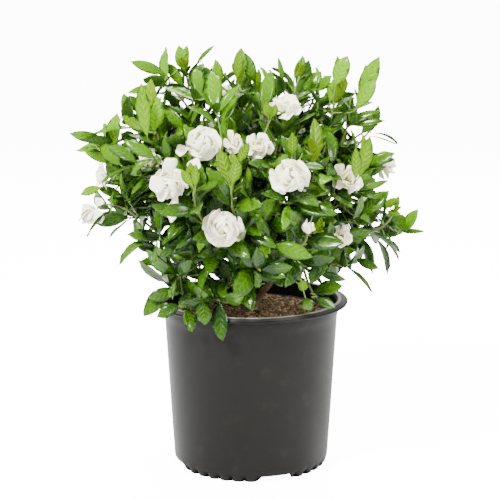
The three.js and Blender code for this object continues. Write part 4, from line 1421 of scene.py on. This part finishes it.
def side_twig(curve, t, turn, keys):
    """The curve of a side twig that leaves another, outward and up."""
    tangent, across, up = curve_frame(curve, t)
    turn += spread(0.5, 70, *keys)
    outward = across * math.cos(turn) + up * math.sin(turn)
    start = curve_point(curve, t)
    away = (start - CROWN_MIDDLE).normalized()
    heading = (0.55 * tangent + outward + 0.5 * away + 0.15 * UP).normalized()
    end = start + heading * (46 + spread(20, 71, *keys))
    return stem_curve(start, heading, end, (heading + 0.4 * away + 0.3 * UP).normalized())


def leaf_plans(branch, sides, look):
    """Where a branch's further leaves may stand: a curve, the share of it, the turn about it, a
    length, and the keys of the leaf's own draws."""
    for k, (curve, twig) in enumerate(zip(branch.curves, branch.twigs)):
        count = max(1, round(curve_length(curve) / look.spacing))
        for n in range(count):
            t = 0.12 + 0.8 * (n + 0.5) / count
            for side in range(2):
                turn = QUARTER * n + HALF * side + 0.6
                yield curve, t, turn, PAIR_LEAF, (branch.number, 10 + k, n, side)
        if twig.bears != "bloom":
            for side in range(5):
                yield curve, 0.98, FIFTH * side, END_LEAF, (branch.number, 20 + k, 99, side)
    for curve, keys in sides:
        for side in range(4):
            yield curve, 0.97, QUARTER * side + keys[2], SPUR_END_LEAF, (*keys, side)
        for side in range(2):
            yield curve, 0.55, HALF * side + keys[2] + 0.8, SPUR_LEAF, (*keys, 10 + side)


def branch_leaves(branch, foliage, look):
    """All the leaves of a branch and the stems that carry them: the frame's own leaves first."""
    leaves, stems = [], []
    for i, curve in enumerate(branch.curves):
        points = sampled(curve, TWIG_RADII, 12)
        stems.append(([(branch.limb[3], TWIG_RADII[0])] + points[1 if i else 0:], 0.45))
    sides = side_twigs(branch, foliage)
    stems += [(sampled(curve, SPUR_RADII, 5), 0.8) for curve, _ in sides]
    for i, blade in enumerate(BRANCH_LEAVES[branch.name]):
        keys = (branch.number, i)
        spot, _ = nearest_spot(blade.root, [branch], 24)
        stems.append(([(spot, 1.1), (blade_point(blade, 0.04), 0.7)], 0.9))
        fold, age = 0.22 + spread(0.12, 80, *keys), leaf_age(blade_point(blade, 0.5), *keys)
        leaves.append(blade._replace(fold=fold, age=age, phase=math.tau * draw(81, *keys)))
    for curve, t, turn, size, keys in leaf_plans(branch, sides, look):
        blade = extra_leaf(curve, t, turn, size, keys)
        if foliage.has_room(blade, look.room):
            foliage.stand(blade)
            leaves.append(blade)
            stems.append(([(curve_point(curve, t), 0.9), (blade_point(blade, 0.05), 0.6)], 0.9))
    return leaves, stems


BRANCH_LEAVES = {name: frame_leaves("leafy_" + name) for name in BRANCHES}


def nearest_spot(place, branches, steps):
    """The nearest place on the twigs of some branches, and its branch."""
    shares = [step / steps for step in range(steps + 1)]
    lines = [(curve, branch) for branch in branches for curve in branch.curves]
    spots = [(curve_point(curve, t), branch) for curve, branch in lines for t in shares]
    return min(spots, key=lambda spot: (spot[0] - place).length)


def marked_leaves():
    """The marked leaves and their stems, by the name of the branch that bears them."""
    found = {name: ([], []) for name in BRANCHES}
    for number, mark in enumerate(MARKED_LEAVES):
        blade = marked_blade(mark, number)
        spot, branch = nearest_spot(blade.root - blade.along * 12, PLANT, 12)
        leaves, stems = found[branch.name]
        leaves.append(blade)
        line = stem_curve(spot, (blade.root - spot).normalized(), blade.root + blade.along * 2, blade.along)
        stems.append((sampled(line, (1.3, 0.8), 6), 0.7))
    return found


def build_leaves(look):
    shape = blade_mesh("leaf_blade", LEAF_OUTLINE, 4, 0)
    bend, sweep = blade_tree(), stem_tree()
    green = leaf_finish(FULL_LEAF, tuple(look.old), tuple(look.young), tuple(look.lime))
    bark = green_stem_finish()
    foliage, marked = Foliage(), marked_leaves()
    for name in BRANCHES:
        for blade in BRANCH_LEAVES[name] + marked[name][0]:
            foliage.stand(blade)
    for branch in PLANT:
        leaves, stems = branch_leaves(branch, foliage, look)
        blades = grown_blades(bend, shape, green, leaves + marked[branch.name][0], 1.3, look.ripple, 2.6)
        twigs = grown_stems(sweep, 5, bark, stems + marked[branch.name][1])
        name = "leafy_" + branch.name
        add_piece(name + "_leaves", joined(name, [blades, twigs]), [name])


def borne(kind):
    """Each twig that bears a bloom or a shoot: the twig, its number, the name of its frame node,
    and its turn from upright."""
    for branch in PLANT:
        for i, twig in enumerate(branch.twigs):
            if twig.bears == kind:
                name = f"{kind}_{branch.name}_{i + 1}"
                yield twig, branch.number * 4 + i, name, UP.rotation_difference(twig.toward)


def shoot_blades(twig, number, turn):
    """A shoot's leaves, which stand round its middle and turn away from the crown."""
    back = math.atan2(60 - twig.at.y, -0.5 * twig.at.x)
    blades = []
    for k, (angle, tilt, share, height) in enumerate(SHOOT_LEAVES + FINE_SHOOT_LEAVES):
        facing = back + angle + spread(0.25, 4, number, k)
        half = 0.16 if k < len(SHOOT_LEAVES) else 0.13
        made = leaning_blade(
            facing, tilt, height * twig.size, 0.5, 0, 0.82 * twig.size * share, half * twig.size * share,
            0.35, 0.3, draw(90, number, k), math.tau * draw(91, number, k),
        )
        blades.append(placed(made, twig.at, turn))
    return blades


def build_shoots(look):
    shape = blade_mesh("young_blade", LEAF_OUTLINE, 4, 0)
    bend, sweep = blade_tree(), stem_tree()
    leaf = leaf_finish(YOUNG_LEAF, tuple(look.old), tuple(look.young), tuple(look.young))
    bark = green_stem_finish()
    for twig, number, name, turn in borne("shoot"):
        stalk = [(twig.at + turn @ UP * (z * twig.size), 1.7 - 2.4 * z) for z in (-0.02, 0.1, 0.2, 0.3)]
        leaves = grown_blades(bend, shape, leaf, shoot_blades(twig, number, turn), 1.2, 0.06, 2.0)
        stalks = grown_stems(sweep, 6, bark, [(stalk, 1.0)])
        add_piece(name + "_leaves", joined(name, [leaves, stalks]), [name])


# ------------------------------------------------------------------ blooms


def throat_radius(share):
    """The throat's radius at a height, as the frame has it, on the flats of its five sides."""
    upper = next(k for k, (_, z) in enumerate(FRAME_THROAT) if z > share)
    (r0, z0), (r1, z1) = FRAME_THROAT[upper - 1], FRAME_THROAT[upper]
    return (r0 + (r1 - r0) * (share - z0) / (z1 - z0)) * math.cos(math.pi / 5)


def bloom_petals(twig, number):
    """A bloom's rows of petals. The fine rows, which the frame leaves out, lie more loosely."""
    blades = []
    size, reach = twig.size, PETAL_REACH[twig.form]
    for r, row in enumerate(PETALS[twig.form]):
        loose = 1 if r < FRAME_ROWS[twig.form] else 5
        radius = throat_radius(row.root) * size - 0.8
        for i in range(row.count):
            keys = (number, r, i)
            turn = math.tau * (i + 0.5 * (r % 2)) / row.count + spread(0.08 * loose, 2, *keys)
            tilt = row.tilt + spread(0.06 * loose, 3, *keys)
            oval = 1 + 0.13 * math.cos(2 * turn + spread(0.8, 98, number))
            length = (reach + spread(0.1, 97, *keys)) * oval * row.length * size
            bend = row.bend + spread(0.08 * (loose - 1), 99, *keys)
            age, phase = draw(92, *keys), math.tau * draw(93, *keys)
            shape = (length, row.half * size, bend, row.fold, age, phase)
            blades.append(leaning_blade(turn, tilt, row.root * size, radius, row.twist, *shape))
    return blades


def bloom_sepals(twig, number):
    """Narrow green sepals, which stand off the throat's foot."""
    size = twig.size
    length = (1.0 if twig.form == "bud" else 0.55) * size
    blades = []
    for i in range(6):
        turn = math.tau * i / 6 + spread(0.2, 94, number, i)
        tilt = 0.7 + spread(0.3, 95, number, i)
        shape = (length, 0.07 * size, 0.5, 0.2, 0.6, 0.0)
        blades.append(leaning_blade(turn, tilt, -0.42 * size, 0.1 * size, 0, *shape))
    return blades


def bloom_stamens(twig, number, turn):
    """Yellow stamens that lie out between the petals, round a stouter stigma."""
    style = ((0, 0, 0.03), (0, 0.22, 0.03), (0, 0.32, 0.05), (0, 0.4, 0.045), (0, 0.44, 0.02))
    anther = ((0.1, 0.12, 0.012), (0.2, 0.24, 0.014), (0.28, 0.27, 0.024), (0.38, 0.26, 0.01))
    lines = [(0, style)] + [(math.tau * i / 6 + spread(0.2, 96, number, i), anther) for i in range(6)]
    stems = []
    for angle, line in lines:
        out = Vector((math.cos(angle), math.sin(angle), 0))
        places = [(twig.at + turn @ ((out * x + UP * z) * twig.size), r * twig.size) for x, z, r in line]
        stems.append((places, 1.0))
    return stems


def stray_petals():
    """The marked petals, each with the bloom that it is nearest to."""
    blooms = [twig for twig, *_ in borne("bloom")]
    strays = [marked_blade(mark, 100 + number) for number, mark in enumerate(MARKED_PETALS)]
    return [(stray, min(blooms, key=lambda twig: (twig.at - stray.root).length)) for stray in strays]


def build_blooms(look):
    petal = blade_mesh("petal_blade", PETAL_OUTLINE, 6, 0.12)
    sepal = blade_mesh("sepal_blade", SEPAL_OUTLINE, 2, 0)
    bend, sweep = blade_tree(), stem_tree()
    white, green, yellow = petal_finish(), green_stem_finish(), stamen_finish()
    strays = stray_petals()
    for twig, number, name, turn in borne("bloom"):
        petals = [placed(blade, twig.at, turn) for blade in bloom_petals(twig, number)]
        petals += [blade for blade, owner in strays if owner is twig]
        sepals = [placed(blade, twig.at, turn) for blade in bloom_sepals(twig, number)]
        throat = [(twig.at + turn @ UP * (z * twig.size), r * twig.size) for r, z in THROAT]
        meshes = [
            grown_blades(bend, petal, white, petals, 2.0, look.ripple, 1.6, PETAL_THICKNESS),
            grown_blades(bend, sepal, green, sepals, 1.0, 0.0, 1.0),
            grown_stems(sweep, 10, green, [(throat, 1.0)]),
        ]
        if twig.form == "open":
            meshes.append(grown_stems(sweep, 6, yellow, bloom_stamens(twig, number, turn)))
        add_piece(name + "_petals", joined(name, meshes), [name])


# ------------------------------------------------------------------ stage

FLOOR_REACH = 60.0
LAMP_AIM = Vector((0, 0, 0.35))
# Each lamp: its name, which is also the setting of its power, its place and its width in metres.
LAMPS = (("key", (-1.3, -1.7, 2.4), 0.7), ("fill", (2.0, -1.2, 1.4), 1.2), ("rear", (0.2, 1.8, 2.4), 1.6))


def build_stage(look):
    mesh = bpy.data.meshes.new("floor")
    corners = [(x * FLOOR_REACH, y * FLOOR_REACH, 0) for x, y in ((-1, -1), (1, -1), (1, 1), (-1, 1))]
    mesh.from_pydata(corners, [], [(0, 1, 2, 3)])
    constants = {"Base Color": tuple(look.floor), "Roughness": 0.9, "Emission Strength": look.glow}
    pale = Finish("floor", constants)
    to_eye = pale.add("ShaderNodeLightPath").out("Is Camera Ray")
    pale.link(pale.mix(to_eye, (0, 0, 0, 1), (1, 1, 1, 1)), "Emission Color")
    mesh.materials.append(pale.material)
    linked("floor", mesh)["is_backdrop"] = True
    bpy.context.scene.world = studio_world(look)
    for name, place, size in LAMPS:
        add_light(name, place, size, getattr(look, name))
    camera = bpy.data.cameras.new("camera")
    camera.sensor_width, camera.lens = 36.0, look.lens
    camera.shift_x = -0.002
    eye = linked("camera", camera)
    eye.location = VIEWER * MM
    eye.rotation_euler = (math.pi / 2 - VIEW_SLOPE, 0, 0)
    bpy.context.scene.camera = eye


def studio_world(look):
    """A white surround that lights the plant softly, before a brighter white backdrop."""
    world = bpy.data.worlds.new("studio")
    world.use_nodes = True
    world.node_tree.nodes.clear()
    sheet = Sheet(world.node_tree)
    to_eye = sheet.add("ShaderNodeLightPath").out("Is Camera Ray")
    strength = look.sky + to_eye * (look.backdrop - look.sky)
    surround = sheet.add("ShaderNodeBackground", None, {"Color": (1, 1, 1, 1), "Strength": strength})
    sheet.add("ShaderNodeOutputWorld", None, {"Surface": surround})
    return world


def add_light(name, place, size, power):
    lamp = bpy.data.lights.new(name, "AREA")
    lamp.shape, lamp.size, lamp.energy = "DISK", size, power
    light = linked(name, lamp)
    light.location = place
    light.rotation_mode = "QUATERNION"
    light.rotation_quaternion = (Vector(place) - LAMP_AIM).to_track_quat("Z", "Y")


# ------------------------------------------------------------------ settings, operators and panel


class PotLook(bpy.types.PropertyGroup):
    segments: bpy.props.IntProperty(name="Segments", description="Facets round the pot", default=216, min=72)
    roughness: bpy.props.FloatProperty(
        name="Roughness", description="Dullness of the plastic", default=0.36, subtype="FACTOR", min=0, max=1
    )
    colour: bpy.props.FloatVectorProperty(
        name="Colour", description="Colour of the plastic",
        default=paint("#0b0b09"), size=4, subtype="COLOR", min=0, max=1,
    )


class SoilLook(bpy.types.PropertyGroup):
    chip_spacing: bpy.props.FloatProperty(
        name="Chip spacing", description="Least distance between bark chips", default=0.005, unit="LENGTH"
    )


class WoodLook(bpy.types.PropertyGroup):
    sides: bpy.props.IntProperty(name="Sides", description="Facets round a woody stem", default=9, min=3)


class LeafLook(bpy.types.PropertyGroup):
    old: bpy.props.FloatVectorProperty(
        name="Old leaf", description="Colour of the oldest leaves",
        default=(0.0026, 0.021, 0.0002, 1), size=4, subtype="COLOR", min=0, max=1,
    )
    young: bpy.props.FloatVectorProperty(
        name="Young leaf", description="Colour of the newest full leaves",
        default=(0.092, 0.245, 0.001, 1), size=4, subtype="COLOR", min=0, max=1,
    )
    lime: bpy.props.FloatVectorProperty(
        name="Lime leaf", description="Colour of the newest small leaves",
        default=(0.05, 0.11, 0.0, 1), size=4, subtype="COLOR", min=0, max=1,
    )
    spacing: bpy.props.FloatProperty(
        name="Spacing", description="Distance between pairs of leaves on a twig, in millimetres",
        default=24, min=5,
    )
    room: bpy.props.FloatProperty(
        name="Room", description="Least distance between the middles of two leaves, in millimetres",
        default=13, min=1,
    )
    ripple: bpy.props.FloatProperty(
        name="Ripple", description="Height of the waves of a leaf's edge, as a share of its half width",
        default=0.12,
    )


class ShootLook(bpy.types.PropertyGroup):
    old: bpy.props.FloatVectorProperty(
        name="Deep green", description="Darkest colour of a young shoot",
        default=(0.028, 0.085, 0.0, 1), size=4, subtype="COLOR", min=0, max=1,
    )
    young: bpy.props.FloatVectorProperty(
        name="Bright green", description="Brightest colour of a young shoot",
        default=(0.08, 0.15, 0.0, 1), size=4, subtype="COLOR", min=0, max=1,
    )


class BloomLook(bpy.types.PropertyGroup):
    ripple: bpy.props.FloatProperty(
        name="Ruffle", description="Height of the waves of a petal, as a share of its half width",
        default=0.08,
    )


class StageLook(bpy.types.PropertyGroup):
    floor: bpy.props.FloatVectorProperty(
        name="Floor", description="Colour of the floor",
        default=(0.8, 0.8, 0.8, 1), size=4, subtype="COLOR", min=0, max=1,
    )
    lens: bpy.props.FloatProperty(
        name="Lens", description="Focal length of the camera, in millimetres", default=112.2
    )
    sky: bpy.props.FloatProperty(name="Sky", description="Strength of the white surround", default=1.0)
    backdrop: bpy.props.FloatProperty(
        name="Backdrop", description="Brightness of the white behind the plant", default=14.0
    )
    glow: bpy.props.FloatProperty(
        name="Floor glow", description="Light that the white floor gives to the eye", default=12.0
    )
    key: bpy.props.FloatProperty(
        name="Key light", description="Power of the light from the front left", default=370, subtype="POWER"
    )
    fill: bpy.props.FloatProperty(
        name="Fill light", description="Power of the light from the right", default=140, subtype="POWER"
    )
    rear: bpy.props.FloatProperty(
        name="Rear light", description="Power of the light from behind", default=200, subtype="POWER"
    )


class GARDENIA_OT_pot(bpy.types.Operator):
    """Build the fluted nursery pot with its rolled lip and drain slots"""

    bl_idname = "gardenia.pot"
    bl_label = "Nursery Pot"

    def execute(self, context):
        build_pot(context.scene.gardenia_pot)
        return {"FINISHED"}


class GARDENIA_OT_soil(bpy.types.Operator):
    """Fill the pot with potting mix, bark chips and fibres"""

    bl_idname = "gardenia.soil"
    bl_label = "Potting Mix"

    def execute(self, context):
        build_soil(context.scene.gardenia_soil)
        return {"FINISHED"}


class GARDENIA_OT_wood(bpy.types.Operator):
    """Grow the stump, the main stems and the limbs"""

    bl_idname = "gardenia.wood"
    bl_label = "Woody Stems"

    def execute(self, context):
        build_wood(context.scene.gardenia_wood)
        return {"FINISHED"}


class GARDENIA_OT_leaves(bpy.types.Operator):
    """Grow the leafy branches"""

    bl_idname = "gardenia.leaves"
    bl_label = "Leafy Branches"

    def execute(self, context):
        build_leaves(context.scene.gardenia_leaves)
        return {"FINISHED"}


class GARDENIA_OT_shoots(bpy.types.Operator):
    """Grow the bright young shoots"""

    bl_idname = "gardenia.shoots"
    bl_label = "Young Shoots"

    def execute(self, context):
        build_shoots(context.scene.gardenia_shoots)
        return {"FINISHED"}


class GARDENIA_OT_blooms(bpy.types.Operator):
    """Open the white blooms and their buds"""

    bl_idname = "gardenia.blooms"
    bl_label = "Blooms"

    def execute(self, context):
        build_blooms(context.scene.gardenia_blooms)
        return {"FINISHED"}


class GARDENIA_OT_stage(bpy.types.Operator):
    """Set the floor, the lights and the camera"""

    bl_idname = "gardenia.stage"
    bl_label = "Studio Stage"

    def execute(self, context):
        build_stage(context.scene.gardenia_stage)
        return {"FINISHED"}


PARTS = (
    (GARDENIA_OT_pot, "gardenia_pot", PotLook),
    (GARDENIA_OT_soil, "gardenia_soil", SoilLook),
    (GARDENIA_OT_wood, "gardenia_wood", WoodLook),
    (GARDENIA_OT_leaves, "gardenia_leaves", LeafLook),
    (GARDENIA_OT_shoots, "gardenia_shoots", ShootLook),
    (GARDENIA_OT_blooms, "gardenia_blooms", BloomLook),
    (GARDENIA_OT_stage, "gardenia_stage", StageLook),
)


class GARDENIA_PT_panel(bpy.types.Panel):
    """Lists the parts of the gardenia with their settings"""

    bl_idname = "GARDENIA_PT_panel"
    bl_label = "Potted Gardenia"
    bl_space_type = "VIEW_3D"
    bl_region_type = "UI"
    bl_category = "Gardenia"

    def draw(self, context):
        for operator, group, look in PARTS:
            box = self.layout.box()
            for name in look.__annotations__:
                box.prop(getattr(context.scene, group), name)
            box.operator(operator.bl_idname)


def register():
    for operator, group, look in PARTS:
        bpy.utils.register_class(look)
        bpy.utils.register_class(operator)
        setattr(bpy.types.Scene, group, bpy.props.PointerProperty(type=look))
    bpy.utils.register_class(GARDENIA_PT_panel)


def unregister():
    bpy.utils.unregister_class(GARDENIA_PT_panel)
    for operator, group, look in reversed(PARTS):
        delattr(bpy.types.Scene, group)
        bpy.utils.unregister_class(operator)
        bpy.utils.unregister_class(look)


def main():
    register()
    bpy.ops.gardenia.pot()
    bpy.ops.gardenia.soil()
    bpy.ops.gardenia.wood()
    bpy.ops.gardenia.leaves()
    bpy.ops.gardenia.shoots()
    bpy.ops.gardenia.blooms()
    bpy.ops.gardenia.stage()
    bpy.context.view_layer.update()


if __name__ == "__main__":
    main()
